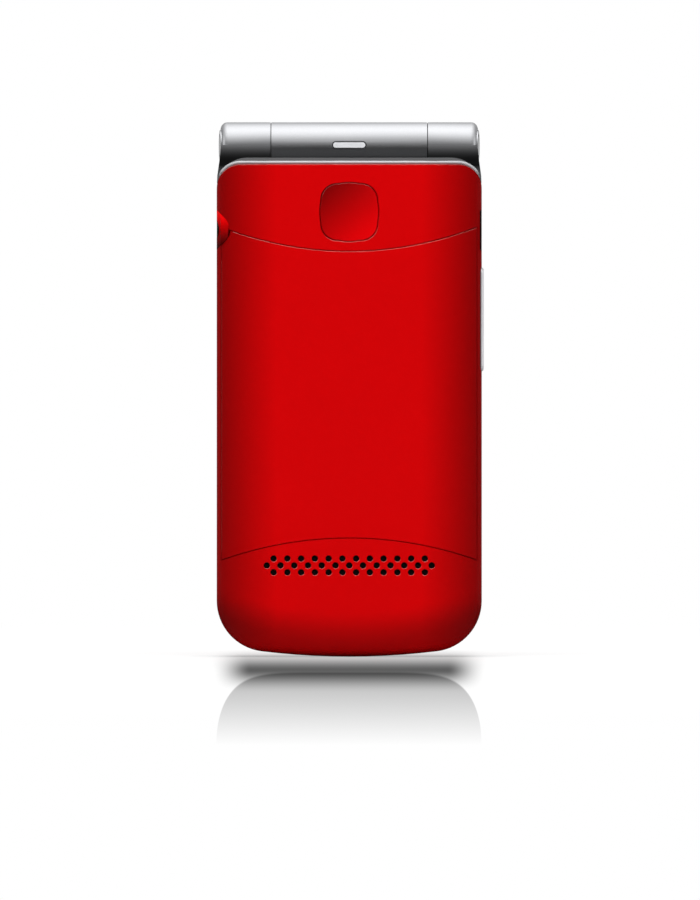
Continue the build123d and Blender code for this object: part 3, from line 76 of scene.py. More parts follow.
# ---------------------------------------------------------------- places that the painted shade and painted highlights follow
SIDE_SHADE_SPAN = (14.2 * MM, 24.8 * MM)  # from the middle, where painted shade darkens the back as it rolls away
FOOT_SHADE_SPAN = (9.0 * MM, 1.5 * MM)  # heights between which painted shade darkens the foot
FOOT_SHADE_BOW = 8.3  # the foot's painted shade climbs by this times X squared
BOSS_AT = (0.0, -3.75 * MM, 83.7 * MM)  # axis of the headset boss
BOSS_RADIUS = 4.0 * MM
BOSS_INNER_X = -23.6 * MM
BOSS_PAINTED_RISE = (79.6 * MM, 87.5 * MM)  # its painted light grows between these heights
BOSS_PAINTED_POWER = 1.5
BOSS_PAINTED_TONES = (0.03, 1.5)  # its darkest painted tone, and what its painted light adds
BOSS_QUIET_RADIUS = 6.6 * MM  # no edge gets painted highlight within this radius of the boss
BOSS_QUIET_X = -22.8 * MM
PAINTED_SLANT_REACH = 11.0 * MM  # half the diagonal over which painted shade on a dished key changes tone
HIGHLIGHT_TURN = (0.99, 0.86)  # painted highlight grows on an edge as its eased normal leaves the face's own
HIGHLIGHT_SKY = (-0.3, 0.0, 0.95)
HIGHLIGHT_LIFT = (0.25, 0.55)
ARCH_TOP = 23.3 * MM  # the cover's lower joint, which gets no painted highlight
ARCH_BOW = 6.0
ARCH_HALF = (0.9 * MM, 1.2 * MM)
EAR_START = 15.4 * MM  # the hinge's ears, and their painted shade, begin here in X
EAR_BACK = (-4.6 * MM, -4.2 * MM)
EAR_FACING = (0.35, 0.85)
EAR_FOOT = (93.8 * MM, 96.4 * MM)
EAR_FALL = (97.3 * MM, 100.3 * MM)
EAR_POWER = 2.6
PAINTED_EAR_SHADE = 0.95
SIDE_KEY_INNER = 22.0 * MM  # the side key, and its painted shade, lie beyond this in X
SIDE_KEY_ROOT = (25.8 * MM, 25.98 * MM)
SIDE_KEY_CREST = (26.12 * MM, 26.32 * MM)
SIDE_KEY_PAINTED_CREST_SHADE = 0.42
SIDE_KEY_MIDDLE = 66.15 * MM
SIDE_KEY_END = (9.4 * MM, 10.5 * MM)
SIDE_KEY_PAINTED_END_SHADE = 0.8
BACKWARD = (0.0, -1.0, 0.0)


# ---------------------------------------------------------------- shading helpers
class Wiring:
    """Adds nodes to one node tree and joins them."""

    def __init__(self, tree: bpy.types.NodeTree) -> None:
        """Starts on an emptied tree."""
        self.tree = tree
        self.tree.nodes.clear()

    def add(self, kind: str, inputs: dict[str | int, object] | None = None,
            **settings: object) -> bpy.types.Node:
        """Adds a node.

        Args:
            kind: Blender's name of the node type.
            inputs: Sockets or plain values for its inputs, by label or number.
            **settings: Properties of the node to set.

        Returns:
            The new node.
        """
        row, column = divmod(len(self.tree.nodes), 8)
        node = self.tree.nodes.new(kind)
        node.location = (180 * column, -220 * row)
        for key, value in settings.items():
            setattr(node, key, value)
        for label, value in (inputs or {}).items():
            self.feed(node.inputs[label], value)
        return node

    def feed(self, target: Socket, value: object) -> None:
        """Links a socket to an input, or sets the input to a plain value.

        Args:
            target: The input socket.
            value: An output socket, a number, a vector or a colour.
        """
        if isinstance(value, Socket):
            self.tree.links.new(value, target)
        elif isinstance(value, tuple) and target.type == "RGBA":
            target.default_value = (*value, 1.0)
        else:
            target.default_value = value

    def math(self, operation: str, *values: object) -> Socket:
        """Chains a Math operation over its values, from left to right.

        Args:
            operation: Blender's name of the operation.
            *values: One or more numbers or sockets.

        Returns:
            The result's socket.
        """
        result = values[0]
        for value in values[1:] or (0.0,):
            result = self.add("ShaderNodeMath", {0: result, 1: value}, operation=operation).outputs[0]
        return result

    def times(self, *values: object) -> Socket:
        """Product of the values."""
        return self.math("MULTIPLY", *values)

    def plus(self, *values: object) -> Socket:
        """Sum of the values."""
        return self.math("ADD", *values)

    def rest(self, share: object) -> Socket:
        """One less a share."""
        return self.math("SUBTRACT", 1.0, share)

    def far(self, value: object, middle: float = 0.0) -> Socket:
        """Distance of a value from a middle."""
        return self.math("ABSOLUTE", self.math("SUBTRACT", value, middle) if middle else value)

    def spread(self, value: object, span: Span, to: Span = (0.0, 1.0), curve: str = "LINEAR") -> Socket:
        """Maps one range of values on another, clamped."""
        inputs = dict(enumerate((value, *span, *to)))
        return self.add("ShaderNodeMapRange", inputs, clamp=True, interpolation_type=curve).outputs[0]

    def mix(self, share: object, a: object, b: object, blend: str = "MIX") -> Socket:
        """Mixes two colours, or blends them, by a share of the second."""
        inputs = {0: share, 6: a, 7: b}
        return self.add("ShaderNodeMix", inputs, data_type="RGBA", blend_type=blend).outputs[2]

    def dimmed(self, colour: object, kept: object) -> Socket:
        """A colour with its brightness multiplied."""
        return self.add("ShaderNodeHueSaturation", {"Color": colour, "Value": kept}).outputs[0]

    def dot(self, a: Socket, b: object) -> Socket:
        """Dot product of a vector with another."""
        return self.add("ShaderNodeVectorMath", {0: a, 1: b}, operation="DOT_PRODUCT").outputs["Value"]

    def place(self) -> Socket:
        """Object coordinates."""
        return self.add("ShaderNodeTexCoord").outputs["Object"]

    def axes(self, place: Socket) -> Axes:
        """X, Y and Z of a vector."""
        return tuple(self.add("ShaderNodeSeparateXYZ", {0: place}).outputs)

    def facing(self) -> Socket:
        """The face's own normal."""
        return self.add("ShaderNodeNewGeometry").outputs["Normal"]

    def noise(self, place: Socket, scale: float, detail: float) -> Socket:
        """Noise value at a place, its scale in cells per metre."""
        inputs = {"Vector": place, "Scale": scale, "Detail": detail}
        return self.add("ShaderNodeTexNoise", inputs).outputs["Fac"]

    def bump(self, height: Socket, depth: Socket, on: Socket | None = None) -> Socket:
        """Normal of a height pattern.

        Args:
            height: The pattern, 0 to 1.
            depth: Its depth in metres.
            on: The normal that it changes, if not the face's own.

        Returns:
            The normal's socket.
        """
        inputs = {"Strength": 1.0, "Distance": depth, "Height": height}
        if on is not None:
            inputs["Normal"] = on
        return self.add("ShaderNodeBump", inputs).outputs["Normal"]


class Effect(Enum):
    """Shared surface effects, each a node group."""

    MOULDED = "moulded_plastic"
    FLAKED = "flaked_lacquer"
    BRUSHED = "brushed_metal"
    PRINTED_BOARD = "printed_board"
    WOVEN_WIRE = "woven_wire"


class EffectLibrary:
    """Builds each shared effect once and hands it out."""

    def __init__(self) -> None:
        """Starts with no effect built."""
        self.makers: dict[Effect, Callable[[], bpy.types.NodeTree]] = {
            Effect.MOULDED: self.moulded,
            Effect.FLAKED: self.flaked,
            Effect.BRUSHED: self.brushed,
            Effect.PRINTED_BOARD: self.printed_board,
            Effect.WOVEN_WIRE: self.woven_wire,
        }
        self.built: dict[Effect, bpy.types.NodeTree] = {}

    def group(self, effect: Effect) -> bpy.types.NodeTree:
        """The node group of an effect, built on first use.

        Args:
            effect: The effect.

        Returns:
            Its node group.
        """
        if effect not in self.built:
            self.built[effect] = self.makers[effect]()
        return self.built[effect]

    @staticmethod
    def open_group(effect: Effect, numbers: dict[str, float],
                   colours: dict[str, Rgb]) -> tuple[Wiring, bpy.types.NodeOutputs]:
        """Starts a group with named inputs and the outputs Color, Roughness and Normal.

        Args:
            effect: The effect that the group is for.
            numbers: Number inputs and their defaults.
            colours: Colour inputs and their defaults.

        Returns:
            The wiring of the group and what its input node gives.
        """
        tree = bpy.data.node_groups.new(effect.value, "ShaderNodeTree")
        for label, colour in colours.items():
            socket = tree.interface.new_socket(label, in_out="INPUT", socket_type="NodeSocketColor")
            socket.default_value = (*colour, 1.0)
        for label, number in numbers.items():
            socket = tree.interface.new_socket(label, in_out="INPUT", socket_type="NodeSocketFloat")
            socket.default_value = number
        for label, kind in (("Color", "Color"), ("Roughness", "Float"), ("Normal", "Vector")):
            tree.interface.new_socket(label, in_out="OUTPUT", socket_type="NodeSocket" + kind)
        wiring = Wiring(tree)
        return wiring, wiring.add("NodeGroupInput").outputs

    @staticmethod
    def close_group(w: Wiring, colour: Socket, roughness: Socket, normal: Socket) -> bpy.types.NodeTree:
        """Joins the group's results to its output node."""
        w.add("NodeGroupOutput", {"Color": colour, "Roughness": roughness, "Normal": normal})
        return w.tree

    @staticmethod
    def from_boss(w: Wiring, axes: Axes) -> Socket:
        """Distance from the axis of the headset boss."""
        flat = w.add("ShaderNodeCombineXYZ", {1: axes[1], 2: axes[2]}).outputs[0]
        return w.add("ShaderNodeVectorMath", {0: flat, 1: BOSS_AT}, operation="DISTANCE").outputs["Value"]

    def form_shade(self, w: Wiring, given: bpy.types.NodeOutputs, axes: Axes) -> Socket:
        """Share of brightness kept under painted light and shade on the rolled sides, the foot, the boss and
        a dished key.

        Args:
            w: The group's wiring.
            given: The group's inputs.
            axes: Where on the phone.

        Returns:
            The share's socket.
        """
        x, _, z = axes
        # painted shade on the rolled sides
        sides = w.rest(w.times(w.spread(w.far(x), SIDE_SHADE_SPAN), given["Painted Side Shade"]))
        # painted shade at the foot, climbing towards the sides
        low = w.spread(w.math("SUBTRACT", z, w.times(x, x, FOOT_SHADE_BOW)), FOOT_SHADE_SPAN, curve="SMOOTHSTEP")
        shell = w.times(sides, w.rest(w.times(low, given["Painted Foot Shade"])))
        # painted light and shade on the headset boss, lighter at its top
        on_boss = w.times(w.math("LESS_THAN", self.from_boss(w, axes), BOSS_RADIUS),
                          w.math("LESS_THAN", x, BOSS_INNER_X),
                          w.math("GREATER_THAN", given["Painted Side Shade"], 0.0))
        light = w.math("POWER", w.spread(z, BOSS_PAINTED_RISE), BOSS_PAINTED_POWER)
        boss = w.plus(w.times(light, BOSS_PAINTED_TONES[1]), BOSS_PAINTED_TONES[0])
        kept = w.plus(w.times(shell, w.rest(on_boss)), w.times(boss, on_boss))
        # painted diagonal light and shade across a dished key
        diagonal = w.plus(x, w.math("SUBTRACT", given["Slant Height"], z))
        painted_dish_shade = w.spread(diagonal, (-PAINTED_SLANT_REACH, PAINTED_SLANT_REACH), (-1.0, 1.0))
        return w.times(kept, w.plus(w.times(painted_dish_shade, given["Painted Slant"]), 1.0))

    def edge_light(self, w: Wiring, eased: Socket, axes: Axes) -> Socket:
        """Share of painted highlight on an edge that faces up.

        Args:
            w: The group's wiring.
            eased: Normal that is rounded over the edges.
            axes: Where on the phone.

        Returns:
            The share's socket.
        """
        x, _, z = axes
        turned = w.spread(w.dot(eased, w.facing()), HIGHLIGHT_TURN)
        upward = w.spread(w.dot(eased, HIGHLIGHT_SKY), HIGHLIGHT_LIFT)
        by_boss = w.times(w.math("LESS_THAN", self.from_boss(w, axes), BOSS_QUIET_RADIUS),
                          w.math("LESS_THAN", x, BOSS_QUIET_X))
        off_arch = w.far(w.plus(z, w.times(x, x, ARCH_BOW)), ARCH_TOP)
        return w.times(turned, upward, w.rest(by_boss), w.spread(off_arch, ARCH_HALF))

    def moulded(self) -> bpy.types.NodeTree:
        """Moulded plastic: faint clouding, fine orange peel, handling marks, painted shade on the form and
        painted highlights on upward edges.

        Returns:
            The node group.
        """
        w, given = self.open_group(
            Effect.MOULDED,
            {"Clouding": 0.04, "Painted Side Shade": 0.0, "Painted Foot Shade": 0.0, "Gloss": 0.35, "Handling": 0.06, "Peel": 6e-6,
             "Painted Slant": 0.0, "Slant Height": 0.0, "Edge Radius": 0.0, "Painted Edge Highlight": 0.0},
            # Edge is the colour of the painted highlight on upward edges
            {"Base": (0.5, 0.5, 0.5), "Edge": (1.0, 0.3, 0.28)},
        )
        place = w.place()
        axes = w.axes(place)
        cloud = w.spread(w.noise(place, 60.0, 3.0), (0.3, 0.7), (-1.0, 1.0))
        level = w.plus(w.times(cloud, given["Clouding"]), 1.0)
        # painted shade on the form scales the base colour
        tone = w.dimmed(given["Base"], w.times(level, self.form_shade(w, given, axes)))
        rubbed = w.spread(w.noise(place, 130.0, 4.0), (0.42, 0.72))
        fine = w.spread(w.noise(place, 2400.0, 1.0), (0.3, 0.7), (-0.5, 0.5))
        marks = w.plus(rubbed, w.times(fine, 0.3))
        rough = w.plus(given["Gloss"], w.times(marks, given["Handling"]))
        peel = w.plus(w.noise(place, 1500.0, 1.0), w.times(w.noise(place, 5200.0, 0.0), 0.4))
        eased = w.add("ShaderNodeBevel", {"Radius": given["Edge Radius"]}, samples=4).outputs[0]
        # painted highlight: upward edges are mixed towards the Edge colour
        lit = w.times(self.edge_light(w, eased, axes), given["Painted Edge Highlight"])
        colour = w.mix(lit, tone, given["Edge"])
        return self.close_group(w, colour, rough, w.bump(peel, given["Peel"], eased))

    @staticmethod
    def ear_shade(w: Wiring, axes: Axes) -> Socket:
        """Painted shade at the root of the hinge's ears, on faces that look backward.

        Args:
            w: The group's wiring.
            axes: Where on the phone.

        Returns:
            The share of light lost.
        """
        x, y, z = axes
        fall = w.math("POWER", w.spread(z, EAR_FALL), EAR_POWER)
        on_ear = w.times(w.math("GREATER_THAN", w.far(x), EAR_START), w.spread(y, EAR_BACK),
                         w.spread(w.dot(w.facing(), BACKWARD), EAR_FACING), w.spread(z, EAR_FOOT))
        return w.times(w.rest(fall), PAINTED_EAR_SHADE, on_ear)

    @staticmethod
    def side_key_shade(w: Wiring, axes: Axes) -> Socket:
        """Painted shade at the side key's root, crest and ends.

        Args:
            w: The group's wiring.
            axes: Where on the phone.

        Returns:
            The share of brightness taken by the painted shade.
        """
        x, _, z = axes
        root = w.spread(x, SIDE_KEY_ROOT, (1.0, 0.0))
        crest = w.spread(x, SIDE_KEY_CREST, (0.0, SIDE_KEY_PAINTED_CREST_SHADE))
        ends = w.spread(w.far(z, SIDE_KEY_MIDDLE), SIDE_KEY_END, (0.0, SIDE_KEY_PAINTED_END_SHADE))
        return w.times(w.math("MAXIMUM", root, crest, ends), w.math("GREATER_THAN", x, SIDE_KEY_INNER))

    def flaked(self) -> bpy.types.NodeTree:
        """Lacquer with fine metal flakes under it, and painted shade on the hinge's ears and the side key.

        Returns:
            The node group.
        """
        w, given = self.open_group(
            Effect.FLAKED,
            {"Flake": 0.12, "Gloss": 0.3, "Handling": 0.05, "Peel": 4e-6,
             "Painted Ear Shade": 0.0, "Painted Slot Shade": 0.0},
            {"Base": (0.6, 0.6, 0.6), "Glint": (0.9, 0.9, 0.9)},
        )
        place = w.place()
        axes = w.axes(place)
        cells = w.add("ShaderNodeTexVoronoi", {"Vector": place, "Scale": 7500.0}, feature="F1")
        flake = w.add("ShaderNodeSeparateColor", {0: cells.outputs["Color"]}).outputs
        lit = w.times(w.spread(flake[0], (0.62, 1.0)), given["Flake"])
        colour = w.mix(lit, given["Base"], given["Glint"])
        # painted shade at the ears' root and on the side key
        kept = w.times(w.rest(w.times(self.ear_shade(w, axes), given["Painted Ear Shade"])),
                       w.rest(w.times(self.side_key_shade(w, axes), given["Painted Slot Shade"])))
        worn = w.times(w.spread(w.noise(place, 90.0, 3.0), (0.35, 0.7)), given["Handling"])
        rough = w.plus(given["Gloss"], worn, w.times(given["Flake"], 0.25, flake[1]))
        normal = w.bump(w.noise(place, 1900.0, 1.0), given["Peel"])
        return self.close_group(w, w.dimmed(colour, kept), rough, normal)

    def brushed(self) -> bpy.types.NodeTree:
        """Drawn metal: long fine scratches along X and uneven tarnish.

        Returns:
            The node group.
        """
        w, given = self.open_group(
            Effect.BRUSHED,
            {"Tarnish": 0.15, "Gloss": 0.25, "Scratch": 2e-6},
            {"Base": (0.6, 0.6, 0.6), "Stain": (0.3, 0.28, 0.25)},
        )
        place = w.place()
        drawn = w.add("ShaderNodeMapping", {"Vector": place, "Scale": (0.06, 1.0, 1.0)}).outputs[0]
        lines = w.noise(drawn, 9000.0, 2.0)
        stain = w.times(w.spread(w.noise(place, 220.0, 4.0), (0.45, 0.75)), given["Tarnish"])
        colour = w.mix(stain, given["Base"], given["Stain"])
        rough = w.plus(given["Gloss"], w.times(lines, 0.12))
        return self.close_group(w, colour, rough, w.bump(lines, given["Scratch"]))

    def printed_board(self) -> bpy.types.NodeTree:
        """Circuit board: solder mask over traces and pads.

        Returns:
            The node group.
        """
        w, given = self.open_group(
            Effect.PRINTED_BOARD,
            {"Pitch": 900.0, "Gloss": 0.3, "Relief": 8e-6},
            {"Mask": (0.01, 0.12, 0.04), "Trace": (0.05, 0.25, 0.08), "Pad": (0.7, 0.5, 0.2)},
        )
        place = w.place()
        cells = w.add("ShaderNodeTexVoronoi", {"Vector": place, "Scale": given["Pitch"]},
                      feature="F1", distance="CHEBYCHEV")
        grid = {"Vector": place, "Scale": w.times(given["Pitch"], 0.5), "Mortar Size": 0.03}
        lines = w.add("ShaderNodeTexBrick", grid).outputs["Fac"]
        trace = w.mix(lines, given["Mask"], given["Trace"])
        pads = w.spread(cells.outputs["Distance"], (0.12, 0.14), (1.0, 0.0))
        colour = w.mix(pads, trace, given["Pad"])
        rough = w.math("SUBTRACT", given["Gloss"], w.times(pads, 0.08))
        return self.close_group(w, colour, rough, w.bump(w.plus(lines, pads), given["Relief"]))

    def woven_wire(self) -> bpy.types.NodeTree:
        """Fine woven mesh seen flat on, in X and Z.

        Returns:
            The node group.
        """
        w, given = self.open_group(
            Effect.WOVEN_WIRE,
            {"Pitch": 5200.0, "Gloss": 0.5, "Relief": 3e-5},
            {"Wire": (0.005, 0.005, 0.005), "Gap": (0.001, 0.001, 0.001)},
        )
        x, _, z = w.axes(w.place())
        waves = [w.math("ABSOLUTE", w.math("SINE", w.times(axis, given["Pitch"]))) for axis in (x, z)]
        height = w.math("MAXIMUM", *waves)
        wire = w.spread(height, (0.45, 0.75))
        colour = w.mix(wire, given["Gap"], given["Wire"])
        rough = w.plus(given["Gloss"], w.times(wire, 0.15))
        return self.close_group(w, colour, rough, w.bump(height, given["Relief"]))


EFFECTS = EffectLibrary()


@dataclass(frozen=True)
class Finish:
    """A finish made of one principled surface and one shared effect.

    Attributes:
        name: The finish's name, for most the same as its slot in the record.
        effect: The shared effect that varies the surface.
        colours: Colour inputs of the effect.
        numbers: Number inputs of the effect.
        metallic: Share of bare metal.
        specular: Specular level of the plain part.
        coat: Weight of a clear coat.
        coat_roughness: Roughness of that coat.
        transmission: Share of light let through.
        ior: Index of refraction.
        glow: Strength of the surface's own light.
        glow_colour: Colour of that light.
        mirror_share: How strongly the colour shows in other parts' reflections.
    """

    name: str
    effect: Effect
    colours: dict[str, Rgb]
    numbers: dict[str, float]
    metallic: float = 0.0
    specular: float = 0.5
    coat: float = 0.0
    coat_roughness: float = 0.1
    transmission: float = 0.0
    ior: float = 1.5
    glow: float = 0.0
    glow_colour: Rgb = (1.0, 1.0, 1.0)
    mirror_share: float = 1.0

    def make(self) -> bpy.types.Material:
        """Makes the finish's material on first use.

        Returns:
            The Blender material.
        """
        title = self.name + "_finish"
        if title in bpy.data.materials:
            return bpy.data.materials[title]
        material = bpy.data.materials.new(title)
        material.use_nodes = True
        w = Wiring(material.node_tree)
        effect = w.add("ShaderNodeGroup", node_tree=EFFECTS.group(self.effect))
        for label, value in {**self.colours, **self.numbers}.items():
            w.feed(effect.inputs[label], value)
        colour = effect.outputs["Color"]
        if self.mirror_share < 1.0:
            glossy = w.add("ShaderNodeLightPath").outputs["Is Glossy Ray"]
            colour = w.mix(w.times(glossy, 1.0 - self.mirror_share), colour, (0.0, 0.0, 0.0))
        shader = w.add("ShaderNodeBsdfPrincipled", {
            "Base Color": colour,
            "Roughness": effect.outputs["Roughness"],
            "Normal": effect.outputs["Normal"],
            "Metallic": self.metallic,
            "Specular IOR Level": self.specular,
            "Coat Weight": self.coat,
            "Coat Roughness": self.coat_roughness,
            "Transmission Weight": self.transmission,
            "IOR": self.ior,
            "Emission Strength": self.glow,
            "Emission Color": self.glow_colour,
        })
        w.add("ShaderNodeOutputMaterial", {"Surface": shader.outputs[0]})
        return material


def plastic(name: str, colour: Rgb, gloss: float, forms: dict[str, float] | None = None,
            clouding: float = 0.04, handling: float = 0.06, peel: float = 6e-6, **more: object) -> Finish:
    """A moulded plastic finish; forms holds the painted shade and painted highlight inputs, which follow the
    phone's form.
    """
    numbers = {"Gloss": gloss, "Clouding": clouding, "Handling": handling, "Peel": peel, **(forms or {})}
    return Finish(name, Effect.MOULDED, {"Base": colour}, numbers, **more)


def metal(name: str, colour: Rgb, stain: Rgb, gloss: float, tarnish: float = 0.15) -> Finish:
    """A drawn metal finish, with its clean colour and the colour where it has dulled."""
    return Finish(name, Effect.BRUSHED, {"Base": colour, "Stain": stain},
                  {"Gloss": gloss, "Tarnish": tarnish, "Scratch": 2e-6}, metallic=1.0)


def lacquer(name: str, base: Rgb, glint: Rgb, gloss: float, handling: float, peel: float,
            forms: dict[str, float], **more: object) -> Finish:
    """A silver lacquer finish with flakes; forms holds the painted shade inputs, which follow the phone's
    form.
    """
    numbers = {"Flake": 0.2, "Gloss": gloss, "Handling": handling, "Peel": peel, **forms}
    return Finish(name, Effect.FLAKED, {"Base": base, "Glint": glint}, numbers, **more)


FINISHES: dict[str, Finish] = {
    finish.name: finish
    for finish in (
        # red shell: painted shade on the rolled sides and the foot, painted light and shade on the boss,
        # painted highlight on upward edges
        plastic("red_shell", srgb(202, 0, 3), 0.42,
                {"Painted Side Shade": 0.6, "Painted Foot Shade": 0.43, "Edge Radius": 0.22 * MM, "Painted Edge Highlight": 0.9},
                clouding=0.012, handling=0.05, peel=2e-6, specular=0.03, mirror_share=0.06),
        # red key: painted diagonal light and shade across its dish, painted highlight on upward edges
        plastic("red_key", srgb(179, 0, 3), 0.3,
                {"Painted Slant": 0.7, "Slant Height": 87.1 * MM, "Edge Radius": 0.2 * MM, "Painted Edge Highlight": 0.6},
                clouding=0.012, handling=0.04, peel=1e-6, specular=0.04, mirror_share=0.06),
        # silver shell: painted shade at the ears' root
        lacquer("silver_shell", srgb(226, 227, 230), srgb(250, 250, 252), 0.32, 0.03, 2e-7,
                {"Painted Ear Shade": 1.0}, metallic=1.0, mirror_share=0.08),
        # silver key: painted shade at the side key's root, crest and ends
        lacquer("silver_key", srgb(230, 230, 233), srgb(250, 250, 252), 0.3, 0.04, 3e-7,
                {"Painted Slot Shade": 0.85}, metallic=0.25),
        lacquer("bead_silver", srgb(196, 197, 200), srgb(216, 216, 218), 0.42, 0.04, 3e-7,
                {}, metallic=0.4, mirror_share=0.1),
        # dark rim standing in as painted shade round the light bar's recess
        plastic("bar_rim", srgb(66, 66, 69), 0.5, clouding=0.03),
        plastic("fascia_black", srgb(24, 24, 27), 0.16, peel=2e-6, coat=0.4, coat_roughness=0.06),
        Finish("board_green", Effect.PRINTED_BOARD, {}, {"Pitch": 900.0}),
        plastic("flex_amber", srgb(176, 104, 28), 0.3, specular=0.4),
        metal("steel", srgb(190, 190, 194), srgb(120, 112, 104), 0.26),
        plastic("dome_film", srgb(196, 198, 204), 0.3, clouding=0.05),
        metal("chrome_trim", srgb(226, 227, 230), srgb(170, 170, 172), 0.08, 0.05),
        metal("gold_contact", srgb(226, 178, 92), srgb(150, 104, 48), 0.2, 0.2),
        plastic("black_plastic", srgb(22, 22, 23), 0.42, peel=1e-5),
        plastic("rubber_grey", srgb(60, 60, 62), 0.7, peel=1.6e-5, specular=0.3),
        Finish("mesh_black", Effect.WOVEN_WIRE, {}, {}),
        plastic("battery_wrap", srgb(44, 46, 52), 0.38, clouding=0.06, peel=8e-6),
        plastic("window_glass", srgb(250, 251, 252), 0.02, clouding=0.0, handling=0.03, peel=0.0,
                transmission=1.0, ior=1.49),
        plastic("display_panel", srgb(16, 20, 24), 0.18, clouding=0.03, handling=0.02, peel=0.0),
        plastic("light_lens", srgb(222, 223, 226), 0.3, clouding=0.02, glow=0.05,
                glow_colour=srgb(250, 251, 255)),
        plastic("key_green", srgb(30, 130, 56), 0.3),
        plastic("key_red", srgb(176, 22, 24), 0.3),
        plastic("key_silver", srgb(176, 178, 182), 0.3, clouding=0.05),
        plastic("key_dark", srgb(38, 38, 42), 0.34),
        plastic("legend_white", srgb(228, 229, 231), 0.4, clouding=0.02, peel=1e-6),
        plastic("print_black", srgb(7, 7, 8), 0.5, clouding=0.02, peel=0.0, specular=0.15),
    )
}


# ---------------------------------------------------------------- modelling helpers
class Bench:
    """Modelling steps shared by the pieces."""

    @staticmethod
    def clear() -> None:
        """Deselects everything and leaves edit mode."""
        if bpy.context.object and bpy.context.object.mode != "OBJECT":
            bpy.ops.object.mode_set(mode="OBJECT")
        bpy.ops.object.select_all(action="DESELECT")
        bpy.context.view_layer.objects.active = None

    @staticmethod
    def take(piece: Piece) -> None:
        """Makes a piece the only one selected, and active.

        Args:
            piece: The piece.
        """
        Bench.clear()
        piece.select_set(True)
        bpy.context.view_layer.objects.active = piece

    @staticmethod
    def settle(piece: Piece) -> None:
        """Moves the piece's place, turn and scale into its mesh."""
        Bench.take(piece)
        bpy.ops.object.transform_apply(location=True, rotation=True, scale=True)

    @staticmethod
    def close(piece: Piece, angle: float = 35.0) -> None:
        """Merges doubles, turns faces outwards and smooths shallow edges.

        Args:
            piece: The piece.
            angle: Edges sharper than this, in degrees, stay sharp.
        """
        Bench.take(piece)
        bpy.ops.object.mode_set(mode="EDIT")
        bpy.ops.mesh.select_all(action="SELECT")
        bpy.ops.mesh.remove_doubles(threshold=1e-7)
        bpy.ops.mesh.normals_make_consistent(inside=False)
        bpy.ops.object.mode_set(mode="OBJECT")
        bpy.ops.object.shade_smooth_by_angle(angle=math.radians(angle))

    @staticmethod
    def deselect(piece: Piece, mode: str) -> None:
        """Deselects all that a piece's mesh holds, and picks what selecting works on.

        Args:
            piece: The piece.
            mode: FACE or EDGE.
        """
        Bench.take(piece)
        bpy.ops.object.mode_set(mode="EDIT")
        bpy.ops.mesh.select_mode(type=mode)
        bpy.ops.mesh.select_all(action="DESELECT")
        bpy.ops.object.mode_set(mode="OBJECT")

    @staticmethod
    def choose(piece: Piece, test: Callable[[bpy.types.MeshPolygon], bool]) -> None:
        """Selects the faces that pass a test, leaving edit mode on.

        Args:
            piece: The piece, already settled.
            test: Says whether a face is wanted.
        """
        Bench.deselect(piece, "FACE")
        for polygon in piece.data.polygons:
            polygon.select = bool(test(polygon))
        bpy.ops.object.mode_set(mode="EDIT")

    @staticmethod
    def finish(piece: Piece, name: str, finish: str, body: str, slot: str | None = None) -> None:
        """Names a piece, gives it its material and lets it ride.

        Args:
            piece: The finished piece.
            name: Its name.
            finish: Key of its finish.
            body: The body it rides on.
            slot: The record's slot, if not the finish's own name; not used.
        """
        piece.name = name
        piece.data.name = name
        piece.data.materials.clear()
        piece.data.materials.append(FINISHES[finish].make())
        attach(piece, body)
        LOG.info("piece %s on %s", name, body)

    @staticmethod
    def plate(width: float, height: float, thickness: float, at: Point, corner: float = 0.0,
              segments: int = 4) -> Piece:
        """A plate across Y with rounded corners.

        Args:
            width: Along X.
            height: Along Z.
            thickness: Along Y.
            at: Its centre.
            corner: Corner radius in X and Z.
            segments: Facets of each corner.

        Returns:
            The plate, with its place in its mesh.
        """
        Bench.clear()
        bpy.ops.mesh.primitive_cube_add(size=1.0, location=at)
        piece = bpy.context.object
        piece.scale = (width, thickness, height)
        Bench.settle(piece)
        if corner:
            Bench.deselect(piece, "EDGE")
            for edge in piece.data.edges:
                a, b = (piece.data.vertices[i].co for i in edge.vertices)
                edge.select = abs(a.x - b.x) < 1e-9 and abs(a.z - b.z) < 1e-9
            bpy.ops.object.mode_set(mode="EDIT")
            bpy.ops.mesh.bevel(offset=corner, segments=segments, affect="EDGES")
            bpy.ops.object.mode_set(mode="OBJECT")
        return piece

    @staticmethod
    def frame_plate(outer: Span, inner: Span, thickness: float, at: Point, corner: float) -> Piece:
        """A flat frame: a plate inset and cut through to its opening.

        Args:
            outer: Width and height outside.
            inner: Width and height of the opening.
            thickness: Along Y.
            at: Its centre.
            corner: Outer corner radius.

        Returns:
            The frame.
        """
        nick = 1e-5
        piece = Bench.plate(outer[0], outer[1], thickness, at, corner, 6)
        Bench.choose(piece, lambda face: abs(face.normal.y) > 0.9)
        bpy.ops.mesh.inset(thickness=nick, use_individual=False)
        shrink = (inner[0] / (outer[0] - 2 * nick), 1.0, inner[1] / (outer[1] - 2 * nick))
        bpy.ops.transform.resize(value=shrink, center_override=at)
        bpy.ops.mesh.bridge_edge_loops()
        Bench.close(piece)
        return piece

    @staticmethod
    def rod(radius: float, depth: float, at: Point, along: str, sides: int) -> Piece:
        """A plain cylinder along an axis.

        Args:
            radius: Its radius.
            depth: Its length.
            at: Its centre.
            along: The axis it lies on, X or Y.
            sides: Facets round it.

        Returns:
            The cylinder, with its place in its mesh.
        """
        Bench.clear()
        turn = {"X": (0.0, math.pi / 2, 0.0), "Y": (math.pi / 2, 0.0, 0.0)}[along]
        bpy.ops.mesh.primitive_cylinder_add(vertices=sides, radius=radius, depth=depth,
                                            location=at, rotation=turn)
        piece = bpy.context.object
        Bench.settle(piece)
        return piece

